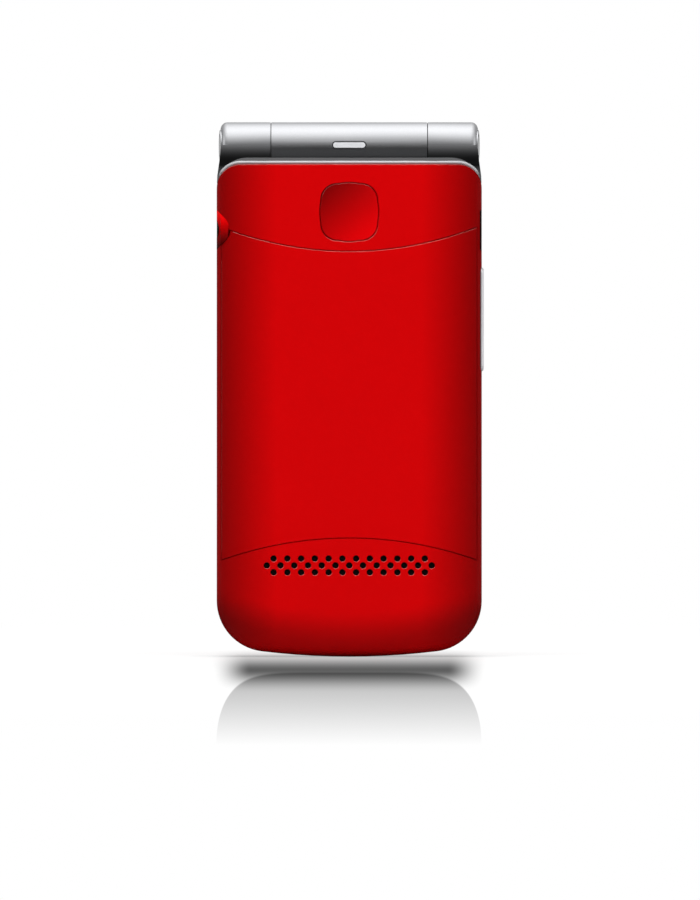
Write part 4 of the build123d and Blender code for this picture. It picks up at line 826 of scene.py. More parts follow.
    @staticmethod
    def soften(piece: Piece, width: float) -> None:
        """Rounds a piece's sharp rims.

        Args:
            piece: The piece.
            width: Width of the rounding.
        """
        rim = piece.modifiers.new("rim", "BEVEL")
        rim.width = width
        rim.segments = 2
        rim.limit_method = "ANGLE"
        Bench.take(piece)
        bpy.ops.object.modifier_apply(modifier=rim.name)

    @staticmethod
    def ring(outer: float, inner: float, depth: float, at: Point) -> Piece:
        """A flat ring round X: a disc inset at both ends and cut through.

        Args:
            outer: Its outer radius.
            inner: Its inner radius.
            depth: Its length.
            at: Its centre.

        Returns:
            The ring.
        """
        piece = Bench.rod(outer, depth, at, "X", 48)
        Bench.choose(piece, lambda face: abs(face.normal.x) > 0.9)
        bpy.ops.mesh.inset(thickness=outer - inner, use_individual=False)
        bpy.ops.mesh.bridge_edge_loops()
        bpy.ops.object.mode_set(mode="OBJECT")
        Bench.soften(piece, min(outer - inner, depth) * 0.2)
        Bench.close(piece)
        return piece

    @staticmethod
    def dome(radius: float, flatness: float, at: Point, cut: float, sides: int, angle: float) -> Piece:
        """The part of a flattened ball that lies in front of a plane across Y.

        Args:
            radius: The ball's radius.
            flatness: Its thickness along Y as a share of its width.
            at: Its centre.
            cut: Where the plane is in Y.
            sides: Facets round it.
            angle: Edges sharper than this, in degrees, stay sharp.

        Returns:
            The dome, closed at its foot.
        """
        Bench.clear()
        bpy.ops.mesh.primitive_uv_sphere_add(segments=sides, ring_count=sides // 2, radius=radius)
        piece = bpy.context.object
        piece.scale = (1.0, flatness, 1.0)
        piece.location = at
        Bench.settle(piece)
        Bench.choose(piece, lambda face: face.center.y < cut)
        bpy.ops.mesh.delete(type="FACE")
        bpy.ops.mesh.select_all(action="SELECT")
        bpy.ops.mesh.fill_holes(sides=0)
        Bench.close(piece, angle)
        return piece

    @staticmethod
    def join(parts: Sequence[Piece]) -> Piece:
        """Joins several pieces into the first.

        Args:
            parts: The pieces.

        Returns:
            The joined piece.
        """
        Bench.take(parts[0])
        for part in parts[1:]:
            part.select_set(True)
        bpy.ops.object.join()
        return bpy.context.object

    @staticmethod
    def text(words: str, height: float, thickness: float, at: Point) -> Piece:
        """A raised legend made a mesh, to read from +Y.

        Args:
            words: What it says.
            height: Cap height.
            thickness: How thick it is along Y.
            at: Centre of its outer face.

        Returns:
            The legend.
        """
        Bench.clear()
        bpy.ops.object.text_add(location=(0.0, 0.0, 0.0))
        curve = bpy.context.object
        curve.data.body = words
        curve.data.size = height * 1.45
        curve.data.align_x = "CENTER"
        curve.data.align_y = "CENTER"
        curve.data.extrude = thickness / 2
        curve.data.resolution_u = 3
        bpy.ops.object.convert(target="MESH")
        piece = bpy.context.object
        piece.rotation_euler = (math.pi / 2, 0.0, math.pi)
        Bench.settle(piece)
        spans = [(min(axis), max(axis)) for axis in zip(*(vertex.co for vertex in piece.data.vertices))]
        (left, right), (_, front), (foot, top) = spans
        piece.location = Vector(at) - Vector(((left + right) / 2, front, (foot + top) / 2))
        Bench.settle(piece)
        return piece


@dataclass
class CadDressing:
    """Smooths and dresses every carried-over CAD node.

    Attributes:
        crease: Edges sharper than this, in degrees, stay sharp.
        merge: Distance within which loose corners count as one, in metres.
        plain: Nodes left faceted, because all their faces are flat.
    """

    crease: float = 28.0
    merge: float = 2e-6
    plain: frozenset[str] = frozenset({"rf_shields", "battery_contacts", "antenna_carrier"})

    def dress(self, nodes: dict[str, Piece], slots: dict[str, str]) -> None:
        """Gives each node its material and smooth shading.

        Args:
            nodes: CAD objects by node.
            slots: The material slot of each node.
        """
        for name, node in nodes.items():
            node.data.materials.clear()
            node.data.materials.append(FINISHES[slots[name]].make())
            if name not in self.plain:
                self.smooth(node)
        LOG.info("dressed %d nodes", len(nodes))

    def smooth(self, node: Piece) -> None:
        """Shades curved faces smoothly and keeps real edges sharp.

        Args:
            node: The CAD object.
        """
        node.data.polygons.foreach_set("use_smooth", [True] * len(node.data.polygons))
        node.data.update()
        weld = node.modifiers.new("weld", "WELD")
        weld.merge_threshold = self.merge
        split = node.modifiers.new("split", "EDGE_SPLIT")
        split.split_angle = math.radians(self.crease)
        split.use_edge_sharp = False
        even = node.modifiers.new("even", "WEIGHTED_NORMAL")
        even.weight = 60
        even.keep_sharp = True


# ---------------------------------------------------------------- sub-assemblies
def middle(low: Vector, high: Vector) -> Vector:
    """Centre of a box."""
    return (low + high) / 2


@dataclass
class Keypad:
    """Printed legends and guide marks on the keys.

    Attributes:
        digit_height: Cap height of the numbers.
        thickness: Thickness of a legend.
        drop: Depth sunk into the key.
        dash: Width, height and corner radius of a soft key's dash.
        sign_width: Width of the call and end signs.
        sign_bar: Height and corner radius of a sign's bar.
        sign_bow: Rise of that bar's middle.
        sign_cup: Side and corner radius of a sign's cups.
        sign_cup_at: A cup's place: the share of the sign's width from its middle, and its drop.
        call_turn: How far the call sign is turned, in degrees.
        pointer: Radius of the ring's pointers.
        pointer_shape: Their stretch across and along.
        pointer_reach: Their distance from the ring's middle in X and in Z.
        pip: Radius of the guide pip.
        pip_sink: Depth of the pip's centre, and of the plane that cuts its foot.
        pip_drop: Distance of the pip below the key's middle.
    """

    digit_height: float = 4.6 * MM
    thickness: float = 0.06 * MM
    drop: float = 0.04 * MM
    dash: tuple[float, float, float] = (4.2 * MM, 0.7 * MM, 0.34 * MM)
    sign_width: float = 5.1 * MM
    sign_bar: Span = (0.8 * MM, 0.3 * MM)
    sign_bow: float = 0.9 * MM
    sign_cup: Span = (1.5 * MM, 0.4 * MM)
    sign_cup_at: Span = (0.42, 0.2 * MM)
    call_turn: float = -55.0
    pointer: float = 1.1 * MM
    pointer_shape: Span = (1.25, 0.7)
    pointer_reach: Span = (6.1 * MM, 7.7 * MM)
    pip: float = 0.45 * MM
    pip_sink: Span = (0.27 * MM, 0.2 * MM)
    pip_drop: float = 3.6 * MM

    def face(self, node: str) -> tuple[Vector, float]:
        """Centre of a key and the level of its front face."""
        low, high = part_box(node)
        return middle(low, high), high.y

    def on_key(self, node: str) -> Vector:
        """Centre of a legend that lies on a key's front face."""
        centre, level = self.face(node)
        return Vector((centre.x, level + self.thickness / 2 - self.drop, centre.z))

    def label(self, piece: Piece, node: str) -> None:
        """Prints a finished legend on its key."""
        Bench.finish(piece, f"legend_{node[4:]}", "legend_white", node, "key_silver")

    def build(self) -> None:
        """Adds every legend."""
        signs = {**{f"key_{n}": str(n) for n in range(10)}, "key_star": "*", "key_hash": "#"}
        for node, words in signs.items():
            at = self.on_key(node) + Vector((0.0, self.thickness / 2, 0.0))
            self.label(Bench.text(words, self.digit_height, self.thickness, at), node)
        for node in ("key_soft_left", "key_soft_right"):
            width, height, corner = self.dash
            self.label(Bench.plate(width, height, self.thickness, self.on_key(node), corner), node)
        self.handset("key_call", self.call_turn)
        self.handset("key_end", 0.0)
        self.arrows()
        self.guide_pip()

    def handset(self, node: str, turn: float) -> None:
        """Telephone receiver sign: a bowed bar with two cups.

        Args:
            node: The key.
            turn: How far the sign is turned, in degrees.
        """
        width = self.sign_width
        bar = Bench.plate(width, self.sign_bar[0], self.thickness, (0.0, 0.0, 0.0), self.sign_bar[1])
        Bench.take(bar)
        bpy.ops.object.mode_set(mode="EDIT")
        bpy.ops.mesh.select_all(action="SELECT")
        bpy.ops.mesh.subdivide(number_cuts=3)
        bpy.ops.object.mode_set(mode="OBJECT")
        for vertex in bar.data.vertices:
            vertex.co.z += self.sign_bow * (1 - (2 * vertex.co.x / width) ** 2)
        side, corner = self.sign_cup
        share, drop = self.sign_cup_at
        cups = [Bench.plate(side, side, self.thickness, (way * width * share, 0.0, -drop), corner)
                for way in (-1, 1)]
        sign = Bench.join([bar, *cups])
        sign.rotation_euler = (0.0, math.radians(turn), 0.0)
        sign.location = self.on_key(node)
        Bench.settle(sign)
        self.label(sign, node)

    def arrows(self) -> None:
        """Adds the four small pointers on the ring."""
        low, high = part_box("key_nav_ring")
        centre = middle(low, high)
        centre.y = high.y + self.thickness / 2 - self.drop
        parts = []
        for way_x, way_z, turn in ((0, 1, 0), (0, -1, 180), (1, 0, 90), (-1, 0, -90)):
            arrow = Bench.rod(self.pointer, self.thickness, (0.0, 0.0, 0.0), "Y", 3)
            arrow.scale = (self.pointer_shape[0], 1.0, self.pointer_shape[1])
            arrow.rotation_euler = (0.0, math.radians(turn), 0.0)
            away = Vector((way_x * self.pointer_reach[0], 0.0, way_z * self.pointer_reach[1]))
            arrow.location = centre + away
            Bench.settle(arrow)
            parts.append(arrow)
        Bench.finish(Bench.join(parts), "ring_pointers", "legend_white", "key_nav_ring", "key_silver")

    def guide_pip(self) -> None:
        """Adds the guide pip on the middle key."""
        centre, level = self.face("key_5")
        at = (centre.x, level - self.pip_sink[0], centre.z - self.pip_drop)
        pip = Bench.dome(self.pip, 1.0, at, level - self.pip_sink[1], 20, 35.0)
        Bench.finish(pip, "guide_pip", "key_silver", "key_5")


@dataclass
class Windows:
    """Printed borders behind the two display windows, and the camera's glass and stop.

    Attributes:
        print_depth: Thickness of the printed layer.
        print_gap: How much smaller a border is than its window.
        main_margin: How much smaller than the main display the border's opening is, in X and Z.
        outer_margin: The same for the outer display.
        main_corner: Corner radius of the main window.
        outer_corner: Corner radius of the outer window.
        lens: Radius of the camera's glass.
        lens_flatness: Its bulge as a share of its radius.
        lens_sink: Depth of its centre behind the ring's front, and of the plane that cuts its foot.
        stop: Radius and thickness of the stop round the glass.
        stop_sink: Depth of the stop behind the ring's front.
        stop_step: Width and depth of the step in the stop.
    """

    print_depth: float = 0.03 * MM
    print_gap: float = 0.1 * MM
    main_margin: Span = (4.9 * MM, 8.3 * MM)
    outer_margin: Span = (2.4 * MM, 2.4 * MM)
    main_corner: float = 2.0 * MM
    outer_corner: float = 3.0 * MM
    lens: float = 1.5 * MM
    lens_flatness: float = 0.28
    lens_sink: Span = (0.45 * MM, 0.47 * MM)
    stop: Span = (2.5 * MM, 0.12 * MM)
    stop_sink: float = 0.32 * MM
    stop_step: Span = (0.75 * MM, 0.1 * MM)

    def border(self, name: str, window: str, display: str, back_high: bool, margin: Span,
               corner: float) -> None:
        """A black printed frame at the back of a window.

        Args:
            name: The new piece's name.
            window: The window's node.
            display: The display's node behind it.
            back_high: Whether the window's back is its side of larger Y.
            margin: How much smaller than the display its opening is, in X and Z.
            corner: Corner radius of the window.
        """
        low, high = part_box(window)
        panel_low, panel_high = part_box(display)
        y = high.y - self.print_depth if back_high else low.y + self.print_depth
        at = (middle(low, high).x, y, middle(low, high).z)
        outer = (high.x - low.x - self.print_gap, high.z - low.z - self.print_gap)
        inner = (panel_high.x - panel_low.x - margin[0], panel_high.z - panel_low.z - margin[1])
        piece = Bench.frame_plate(outer, inner, self.print_depth, at, corner)
        Bench.finish(piece, name, "print_black", "lid", "fascia_black")

    def camera(self) -> None:
        """Adds the camera's glass and the stepped stop round it."""
        low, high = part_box("camera_ring")
        centre, front = middle(low, high), high.y
        at = (centre.x, front - self.lens_sink[0], centre.z)
        lens = Bench.dome(self.lens, self.lens_flatness, at, front - self.lens_sink[1], 40, 50.0)
        Bench.finish(lens, "camera_lens", "display_panel", "lid")
        radius, depth = self.stop
        stop = Bench.rod(radius, depth, (centre.x, front - self.stop_sink, centre.z), "Y", 48)
        Bench.soften(stop, min(radius, depth) * 0.18)
        Bench.choose(stop, lambda face: face.normal.y > 0.9)
        bpy.ops.mesh.inset(thickness=self.stop_step[0])
        bpy.ops.transform.translate(value=(0.0, -self.stop_step[1], 0.0))
        Bench.close(stop)
        Bench.finish(stop, "camera_stop", "print_black", "lid", "fascia_black")

    def build(self) -> None:
        """Adds the borders and the camera's parts."""
        self.border("main_border", "main_window", "main_display", True,
                    self.main_margin, self.main_corner)
        self.border("outer_border", "outer_window", "outer_display", False,
                    self.outer_margin, self.outer_corner)
        self.camera()


@dataclass
class LipBead:
    """Bright bead where the silver lip meets the top edge of the red shell.

    Attributes:
        corner: Radius of the shell's upper corners.
        rise: Height of the bead's middle over the shell's edge.
        tuck: How far its ends are drawn in.
        reach: How far round each corner it runs, in degrees.
        steps: Pieces of each corner's arc.
        straight: Half the length of its straight run, in millimetres, and the step along it.
        sink: Distance of its middle in front of the surface it lies on.
        radius: Its radius.
        taper: Its thinnest share, how much the rest adds, and where and how fast the rest grows.
        passes: How often its depth is evened out.
    """

    corner: float = 4.6 * MM
    rise: float = 0.38 * MM
    tuck: float = 0.16 * MM
    reach: float = 66.0
    steps: int = 32
    straight: tuple[int, int] = (20, 4)
    sink: float = 0.06 * MM
    radius: float = 0.42 * MM
    taper: tuple[float, float, float, float] = (0.45, 0.55, 0.4, 4.0)
    passes: int = 6

    def path(self) -> list[tuple[float, float, float]]:
        """Line of the bead from corner to corner.

        Returns:
            X, Z and the cosine of the turn at each point.
        """
        top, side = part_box("base_rear_housing")[1].z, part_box("base_rear_housing")[1].x
        arc = []
        for i in range(self.steps + 1):
            turn = math.radians(self.reach) * (1 - i / self.steps)
            out = self.corner + self.rise * math.cos(turn) - self.tuck * math.sin(turn)
            arc.append((side - self.corner + out * math.sin(turn), top - self.corner + out * math.cos(turn),
                        math.cos(turn)))
        half, step = self.straight
        run = [(x * MM, top + self.rise, 1.0) for x in range(half, -half - 1, -step)]
        return arc + run + [(-x, z, upright) for x, z, upright in reversed(arc)]

    def depths(self, path: Sequence[tuple[float, float, float]]) -> list[float]:
        """Where the housings' surface is behind each point of the line.

        Args:
            path: The line.

        Returns:
            The surface's Y at each point, evened out.
        """
        shells = [frame["nodes"][name] for name in ("base_front_housing", "base_rear_housing")]
        levels = []
        for x, z, _ in path:
            hits = [shell.ray_cast(Vector((x, -0.03, z)), Vector((0.0, 1.0, 0.0))) for shell in shells]
            found = [place.y for hit, place, _, _ in hits if hit]
            levels.append(min(found) if found else levels[-1])
        for _ in range(self.passes):
            near = [levels[max(i - 1, 0):i + 2] for i in range(len(levels))]
            levels = [sum(group) / len(group) for group in near]
        return levels

    def build(self) -> None:
        """Adds the bead."""
        path = self.path()
        Bench.clear()
        bpy.ops.curve.primitive_nurbs_path_add()
        bead = bpy.context.object
        bead.data.splines.clear()
        line = bead.data.splines.new("POLY")
        line.points.add(len(path) - 1)
        least, more, start, speed = self.taper
        for point, (x, z, upright), y in zip(line.points, path, self.depths(path)):
            point.co = (x, y - self.sink, z, 1.0)
            point.radius = least + more * min(1.0, (upright - start) * speed)
        bead.data.bevel_depth = self.radius
        bead.data.bevel_resolution = 3
        bead.data.use_fill_caps = True
        bpy.ops.object.convert(target="MESH")
        bead = bpy.context.object
        Bench.settle(bead)
        Bench.close(bead, 50)
        Bench.finish(bead, "lip_bead", "bead_silver", "base", "silver_shell")


@dataclass
class Fittings:
    """Small fittings that show from outside or under the cover.

    Attributes:
        pin: Length, width and thickness of a charging contact, and its corner radius.
        pin_pitch: Distance between the contacts.
        pin_inset: Distance of the contacts from the socket's mouth.
        pin_lift: Their distance from the socket's middle.
        pad: Width, height and thickness of a battery pad.
        pad_pitch: Distance between the pads.
        pad_drop: Distance of the pads below the battery's front.
        wrap: Distance of the wrap's rim from the battery's edge, outside and inside.
        wrap_size: Thickness and corner radius of that rim.
        cloth: Width, height, thickness and corner radius of the earpiece's cloth.
        cloth_gap: Distance of the cloth behind the earpiece.
        bezel_opening: Width and height of the charging socket's mouth.
        bezel_rim: How much wider and higher its bezel is.
        bezel_size: Depth, corner radius and rise of that bezel.
        collar: Outer and inner radius and depth of the headset socket's collar.
        collar_rise: Its distance outside the socket.
        bar_rim: Width and depth of the dark rim round the light bar, put there as painted shade for its
            recess, and its corner radius.
        bar_gap: Gap between the bar and its rim on each side.
        bar_sink: Depth of the rim.
        washer: Outer and inner radius and thickness of the hinge's washers.
        washer_at: Their distance from the middle, and the hinge's axis in Y.
    """

    pin: tuple[float, float, float, float] = (2.6 * MM, 0.28 * MM, 0.08 * MM, 0.06 * MM)
    pin_pitch: float = 0.65 * MM
    pin_inset: float = 1.0 * MM
    pin_lift: float = 0.05 * MM
    pad: tuple[float, float, float] = (1.9 * MM, 0.06 * MM, 1.3 * MM)
    pad_pitch: float = 3.6 * MM
    pad_drop: float = 2.45 * MM
    wrap: Span = (0.25 * MM, 0.65 * MM)
    wrap_size: Span = (0.04 * MM, 1.0 * MM)
    cloth: tuple[float, float, float, float] = (8.8 * MM, 1.1 * MM, 0.1 * MM, 0.5 * MM)
    cloth_gap: float = 0.12 * MM
    bezel_opening: Span = (2.86 * MM, 7.5 * MM)
    bezel_rim: Span = (0.9 * MM, 0.4 * MM)
    bezel_size: tuple[float, float, float] = (0.74 * MM, 0.3 * MM, 0.1 * MM)
    collar: tuple[float, float, float] = (2.05 * MM, 1.78 * MM, 0.64 * MM)
    collar_rise: float = 1.02 * MM
    bar_rim: tuple[float, float, float] = (0.26 * MM, 0.12 * MM, 0.8 * MM)
    bar_gap: float = 0.02 * MM
    bar_sink: float = 0.16 * MM
    washer: tuple[float, float, float] = (4.42 * MM, 3.66 * MM, 0.1 * MM)
    washer_at: Span = (15.38 * MM, 1.45 * MM)

    def hinge_washers(self) -> None:
        """Dark washers in the joints between the barrel and the ears."""
        low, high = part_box("hinge_caps")
        x, y = self.washer_at
        rings = [Bench.ring(*self.washer, (way * x, y, middle(low, high).z)) for way in (-1, 1)]
        Bench.finish(Bench.join(rings), "hinge_washers", "print_black", "base", "black_plastic")

    def socket_bezel(self) -> None:
        """Black bezel round the mouth of the charging socket."""
        low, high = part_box("micro_usb_socket")
        wide, tall = self.bezel_opening
        depth, corner, rise = self.bezel_size
        outer = (wide + self.bezel_rim[0], tall + self.bezel_rim[1])
        bezel = Bench.frame_plate(outer, (wide, tall), depth, (0.0, 0.0, 0.0), corner)
        bezel.rotation_euler = (0.0, 0.0, math.pi / 2)
        bezel.location = (high.x + rise, middle(low, high).y, middle(low, high).z)
        Bench.settle(bezel)
        Bench.finish(bezel, "socket_bezel", "print_black", "base", "black_plastic")

    def jack_collar(self) -> None:
        """Black collar in the mouth of the headset boss."""
        low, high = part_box("headset_jack")
        at = (low.x - self.collar_rise, middle(low, high).y, middle(low, high).z)
        Bench.finish(Bench.ring(*self.collar, at), "jack_collar", "print_black", "base", "black_plastic")

    def light_bar_rim(self) -> None:
        """Dark rim round the light bar in the hinge barrel, put there as painted shade for the bar's recess.
        """
        low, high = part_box("indicator_lens")
        rim, depth, corner = self.bar_rim
        outer, inner = ((high.x - low.x + 2 * edge, high.z - low.z + 2 * edge)
                        for edge in (rim, self.bar_gap))
        at = (0.0, low.y + self.bar_sink, middle(low, high).z)
        piece = Bench.frame_plate(outer, inner, depth, at, corner)
        Bench.finish(piece, "light_bar_rim", "bar_rim", "lid", "rubber_grey")

    def charging_contacts(self) -> None:
        """Five gold contacts on the tongue of the charging socket."""
        low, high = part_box("micro_usb_socket")
        length, width, thickness, corner = self.pin
        parts = []
        for i in range(-2, 3):
            at = (high.x - self.pin_inset - length / 2, middle(low, high).y + self.pin_lift,
                  middle(low, high).z + i * self.pin_pitch)
            parts.append(Bench.plate(length, width, thickness, at, corner, 2))
        Bench.finish(Bench.join(parts), "charging_contacts", "gold_contact", "base")

    def battery_pads(self) -> None:
        """Three gold pads at the battery's foot."""
        low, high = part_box("battery")
        parts = [Bench.plate(*self.pad, (way * self.pad_pitch, high.y - self.pad_drop, low.z))
                 for way in (-1, 0, 1)]
        Bench.finish(Bench.join(parts), "battery_pads", "gold_contact", "battery")

    def battery_wrap_rim(self) -> None:
        """Folded rim of the battery's wrap."""
        low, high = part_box("battery")
        outer, inner = ((high.x - low.x - 2 * edge, high.z - low.z - 2 * edge) for edge in self.wrap)
        thickness, corner = self.wrap_size
        rim = Bench.frame_plate(outer, inner, thickness, (0.0, low.y, middle(low, high).z), corner)
        Bench.finish(rim, "battery_wrap_rim", "black_plastic", "battery")

    def earpiece_cloth(self) -> None:
        """Woven cloth just behind the earpiece slot."""
        low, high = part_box("earpiece")
        width, height, thickness, corner = self.cloth
        at = (0.0, low.y - self.cloth_gap, middle(low, high).z)
        piece = Bench.plate(width, height, thickness, at, corner)
        Bench.finish(piece, "earpiece_cloth", "mesh_black", "lid")

    def build(self) -> None:
        """Adds all the fittings."""
        self.hinge_washers()
        self.socket_bezel()
        self.jack_collar()
        self.light_bar_rim()
        LipBead().build()
        self.charging_contacts()
        self.battery_pads()
        self.battery_wrap_rim()
        self.earpiece_cloth()


# ---------------------------------------------------------------- studio
@dataclass(frozen=True)
class Lamp:
    """A soft rectangular lamp that points at the phone and isn't mirrored.

    Attributes:
        name: Its name.
        at: Its place.
        size: Width and height.
        power: Watts.
        target: Where it points.
    """

    name: str
    at: Point
    size: Span
    power: float
    target: Point = (0.0, 0.0, 0.055)

    def hang(self) -> None:
        """Adds the lamp to the scene."""
        data = bpy.data.lights.new(self.name, "AREA")
        data.shape = "RECTANGLE"
        data.size, data.size_y = self.size
        data.energy = self.power
        lamp = bpy.data.objects.new(self.name, data)
        lamp.visible_glossy = False
        bpy.context.scene.collection.objects.link(lamp)
        lamp.location = self.at
        lamp.rotation_euler = (Vector(self.target) - Vector(self.at)).to_track_quat("-Z", "Y").to_euler()


@dataclass
class Studio:
    """Floor, surroundings, lamps and camera.

    Lengths called down and across are as the camera sees the floor: in the plane of the phone,
    from the middle of the picture.

    Attributes:
        lens: Focal length in millimetres.
        sensor: Long side of the sensor in millimetres.
        aim: Point at the middle of the picture.
        frame_height: Height of the picture at that point, in metres.
        lamps: Key above and in front, one behind for the shadow, and a faint fill in front.
        ambient: Level of the surroundings for soft light.
        sky: How the mirrored surroundings grow upwards: range of Z, power and level.
        sky_turn: Range of Y over which they change, and their levels there.
        flanks: Range of X where the mirrored flanks begin, and their level.
        back: Range of Y where the mirrored back begins, and its level.
        bar: Down of the painted shadow bar's middle, half its height and its depth of tone.
        bar_ends: Across of the painted shadow bar's soft ends, from clear to full.
        image: Down of the painted reflection's corners, rise of its round end, half its
            width and the power of its outline.
        image_edge: Softness of its round end.
        image_sides: Across of its sides, from full to clear.
        image_fade: Down where it has faded and where it starts.
        image_tone: Its tone at its start.
        corner_shade: Range of openness over which painted shade darkens the floor under the
            phone, and its tones.
        paper_share: Share of the floor's own light near the phone, against plain white.
        near_x: Distance in X over which that share goes.
        near_back: Distance behind over which it goes.
        near_front: Distance in front over which it goes.
        mirrored_floor: Level of the floor in reflections.
    """

    lens: float = 420.0
    sensor: float = 36.0
    aim: Point = (0.00015, -0.0075, 0.04054)
    frame_height: float = 0.17626
    lamps: tuple[Lamp, ...] = (
        Lamp("overhead", (-0.03, -0.28, 0.80), (0.7, 0.34), 6.4),
        Lamp("behind", (0.04, 0.60, 0.62), (0.5, 0.2), 3.0),
        Lamp("front", (0.0, -1.25, 0.32), (0.8, 0.2), 0.7),
    )
    ambient: float = 0.42
    sky: tuple[Span, float, float] = ((-0.9, 1.0), 3.2, 1.2)
    sky_turn: tuple[Span, Span] = ((-0.5, 0.7), (1.3, 0.95))
    flanks: tuple[Span, float] = ((0.75, 0.98), 0.9)
    back: tuple[Span, float] = ((0.5, 0.95), 0.45)
    bar: tuple[float, float, float] = (43.09 * MM, 4.5 * MM, 0.89)
    bar_ends: Span = (27.4 * MM, 19.2 * MM)
    image: tuple[float, float, float, float] = (57.19 * MM, 13.71 * MM, 25.95 * MM, 6.2)
    image_edge: Span = (-0.1 * MM, 0.3 * MM)
    image_sides: Span = (25.9 * MM, 26.1 * MM)
    image_fade: Span = (57.8 * MM, 43.5 * MM)
    image_tone: float = 0.58
    corner_shade: tuple[Span, Span] = ((0.35, 0.97), (0.87, 1.0))
    paper_share: float = 0.74
    near_x: Span = (0.12, 0.3)
    near_back: Span = (0.12, 0.35)
    near_front: Span = (-0.55, -0.25)
    mirrored_floor: float = 0.015

    @property
    def distance(self) -> float:
        """Distance of the camera from the point it looks at."""
        return self.lens / self.sensor * self.frame_height

    def camera(self) -> None:
        """Long-lens camera looking straight at the battery cover."""
        data = bpy.data.cameras.new("camera")
        data.lens = self.lens
        data.sensor_width = self.sensor
        data.clip_start, data.clip_end = 0.01, 20.0
        view = bpy.data.objects.new("camera", data)
        bpy.context.scene.collection.objects.link(view)
        view.location = (self.aim[0], self.aim[1] - self.distance, self.aim[2])
        view.rotation_euler = (math.pi / 2, 0.0, 0.0)
        bpy.context.scene.camera = view

    def world(self) -> None:
        """Dim grey surroundings, white where seen straight on, and shaped by direction where mirrored."""
        world = bpy.data.worlds.new("surroundings")
        bpy.context.scene.world = world
        world.use_nodes = True
        w = Wiring(world.node_tree)
        path = w.add("ShaderNodeLightPath").outputs
        seen = w.math("MAXIMUM", path["Is Camera Ray"], path["Is Transmission Ray"])
        x, y, z = w.axes(w.add("ShaderNodeTexCoord").outputs["Generated"])
        heights, power, level = self.sky
        above = w.times(w.math("POWER", w.spread(z, heights), power), w.spread(y, *self.sky_turn), level)
        flanks = w.spread(w.far(x), self.flanks[0], (0.0, self.flanks[1]))
        behind = w.spread(y, self.back[0], (0.0, self.back[1]))
        backdrop = w.math("MAXIMUM", above, flanks, behind)
        mirrored = w.add("ShaderNodeMix", {0: path["Is Glossy Ray"], 2: self.ambient, 3: backdrop}).outputs[0]
        glow = w.add("ShaderNodeBackground", {"Color": (1.0, 1.0, 1.0),
                                              "Strength": w.math("MAXIMUM", seen, mirrored)})
        w.add("ShaderNodeOutputWorld", {"Surface": glow.outputs[0]})

    def floor_tone(self, w: Wiring, x: Socket, y: Socket) -> Socket:
        """Painted tone of the floor: a painted soft shadow bar, a faded painted reflection of the phone and
        painted shade under the phone.

        Args:
            w: The floor's wiring.
            x: Place across.
            y: Place along.

        Returns:
            The tone's socket, 1 where the floor is clear.
        """
        reach = w.math("DIVIDE", self.distance, w.math("SUBTRACT", y, self.aim[1] - self.distance))
        across = w.times(w.far(x), reach)
        down = w.times(reach, self.aim[2])
        centre, half, depth = self.bar
        # painted soft shadow bar in front of the phone
        ends = w.spread(across, self.bar_ends, curve="SMOOTHSTEP")
        bar = w.times(ends, w.spread(w.far(down, centre), (half, 0.0), (0.0, depth), "SMOOTHSTEP"))
        # painted faded reflection of the phone, with a round end
        corners, bow, width, power = self.image
        share = w.math("MINIMUM", w.math("DIVIDE", across, width), 1.0)
        round_end = w.math("SQRT", w.rest(w.math("POWER", share, power)))
        start = w.math("SUBTRACT", corners, w.times(round_end, bow))
        inside = w.times(w.spread(w.math("SUBTRACT", down, start), self.image_edge),
                         w.spread(across, self.image_sides, (1.0, 0.0)))
        image = w.times(inside, w.spread(down, self.image_fade, (0.0, self.image_tone)))
        # painted shade under the phone, from ambient occlusion
        contact = w.add("ShaderNodeAmbientOcclusion", {"Distance": 0.012}).outputs["AO"]
        return w.times(w.spread(contact, *self.corner_shade), w.rest(bar), w.rest(image))

    def floor(self) -> None:
        """Pale floor that keeps the phone's real soft shadow, with painted shadow, a painted reflection and
        painted shade under the phone where it is seen.
        """
        Bench.clear()
        bpy.ops.mesh.primitive_plane_add(size=12.0, location=(0.0, 0.0, 0.0))
        floor = bpy.context.object
        Bench.settle(floor)
        floor.name = "floor"
        material = bpy.data.materials.new("floor_paper")
        material.use_nodes = True
        w = Wiring(material.node_tree)
        path = w.add("ShaderNodeLightPath").outputs
        place = w.place()
        x, y, _ = w.axes(place)
        tone = self.floor_tone(w, x, y)
        grain = w.spread(w.noise(place, 900.0, 2.0), (0.3, 0.7), (0.0, 0.02))
        pale = w.mix(grain, (0.8, 0.8, 0.8), (0.74, 0.74, 0.74))
        seen = w.math("MAXIMUM", path["Is Camera Ray"], path["Is Transmission Ray"])
        colour = w.mix(seen, pale, w.mix(1.0, pale, tone, "MULTIPLY"))
        paper = w.add("ShaderNodeBsdfPrincipled",
                      {"Base Color": colour, "Roughness": 0.6, "Specular IOR Level": 0.0})
        glow = w.add("ShaderNodeEmission", {"Strength": tone})
        share = self.paper_share
        away = w.math("MAXIMUM", w.spread(w.far(x), self.near_x, (share, 1.0)),
                      w.spread(y, self.near_back, (share, 1.0)), w.spread(y, self.near_front, (1.0, share)))
        lit = w.add("ShaderNodeMixShader", {0: w.times(seen, away), 1: paper.outputs[0], 2: glow.outputs[0]})
        unlit = w.add("ShaderNodeEmission", {"Strength": self.mirrored_floor})
        surface = w.add("ShaderNodeMixShader",
                        {0: path["Is Glossy Ray"], 1: lit.outputs[0], 2: unlit.outputs[0]})
        w.add("ShaderNodeOutputMaterial", {"Surface": surface.outputs[0]})
        floor.data.materials.append(material)

    def build(self) -> None:
        """Sets up the studio."""
        bpy.context.scene.view_settings.view_transform = "Standard"
        self.camera()
        for lamp in self.lamps:
            lamp.hang()
        self.world()
        self.floor()


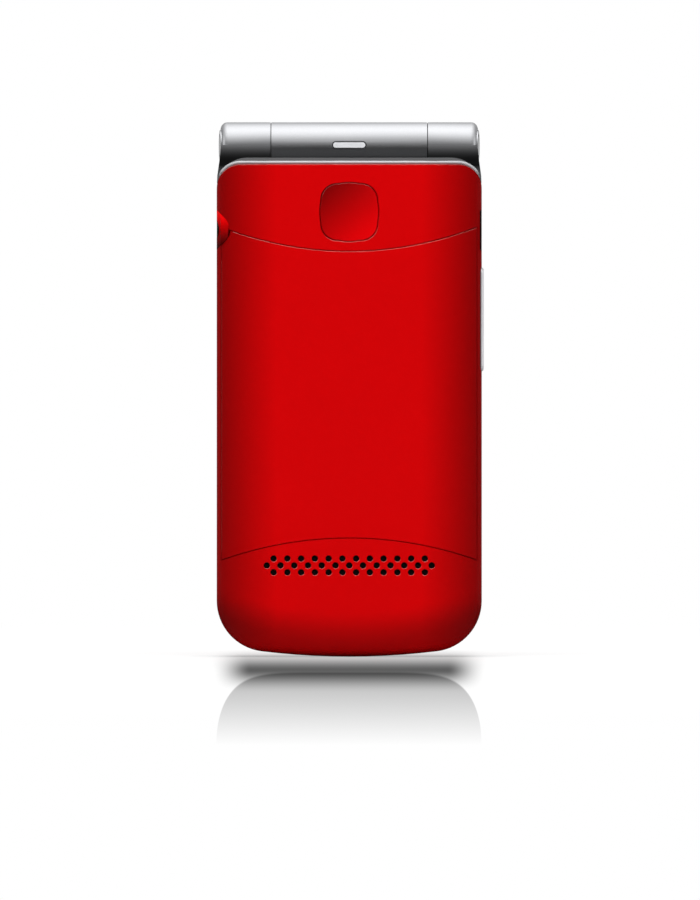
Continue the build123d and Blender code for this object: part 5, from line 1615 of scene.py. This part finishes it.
def main() -> None:
    """Builds the studio and the phone's looks."""
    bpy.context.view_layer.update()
    slots = {part["node"]: part["material_slot"] for part in frame["record"]["subparts"]}
    Studio().build()
    CadDressing().dress(frame["nodes"], slots)
    for assembly in (Keypad(), Windows(), Fittings()):
        assembly.build()
        LOG.info("built %s", type(assembly).__name__)
    Bench.clear()


if __name__ == "__main__":
    main()
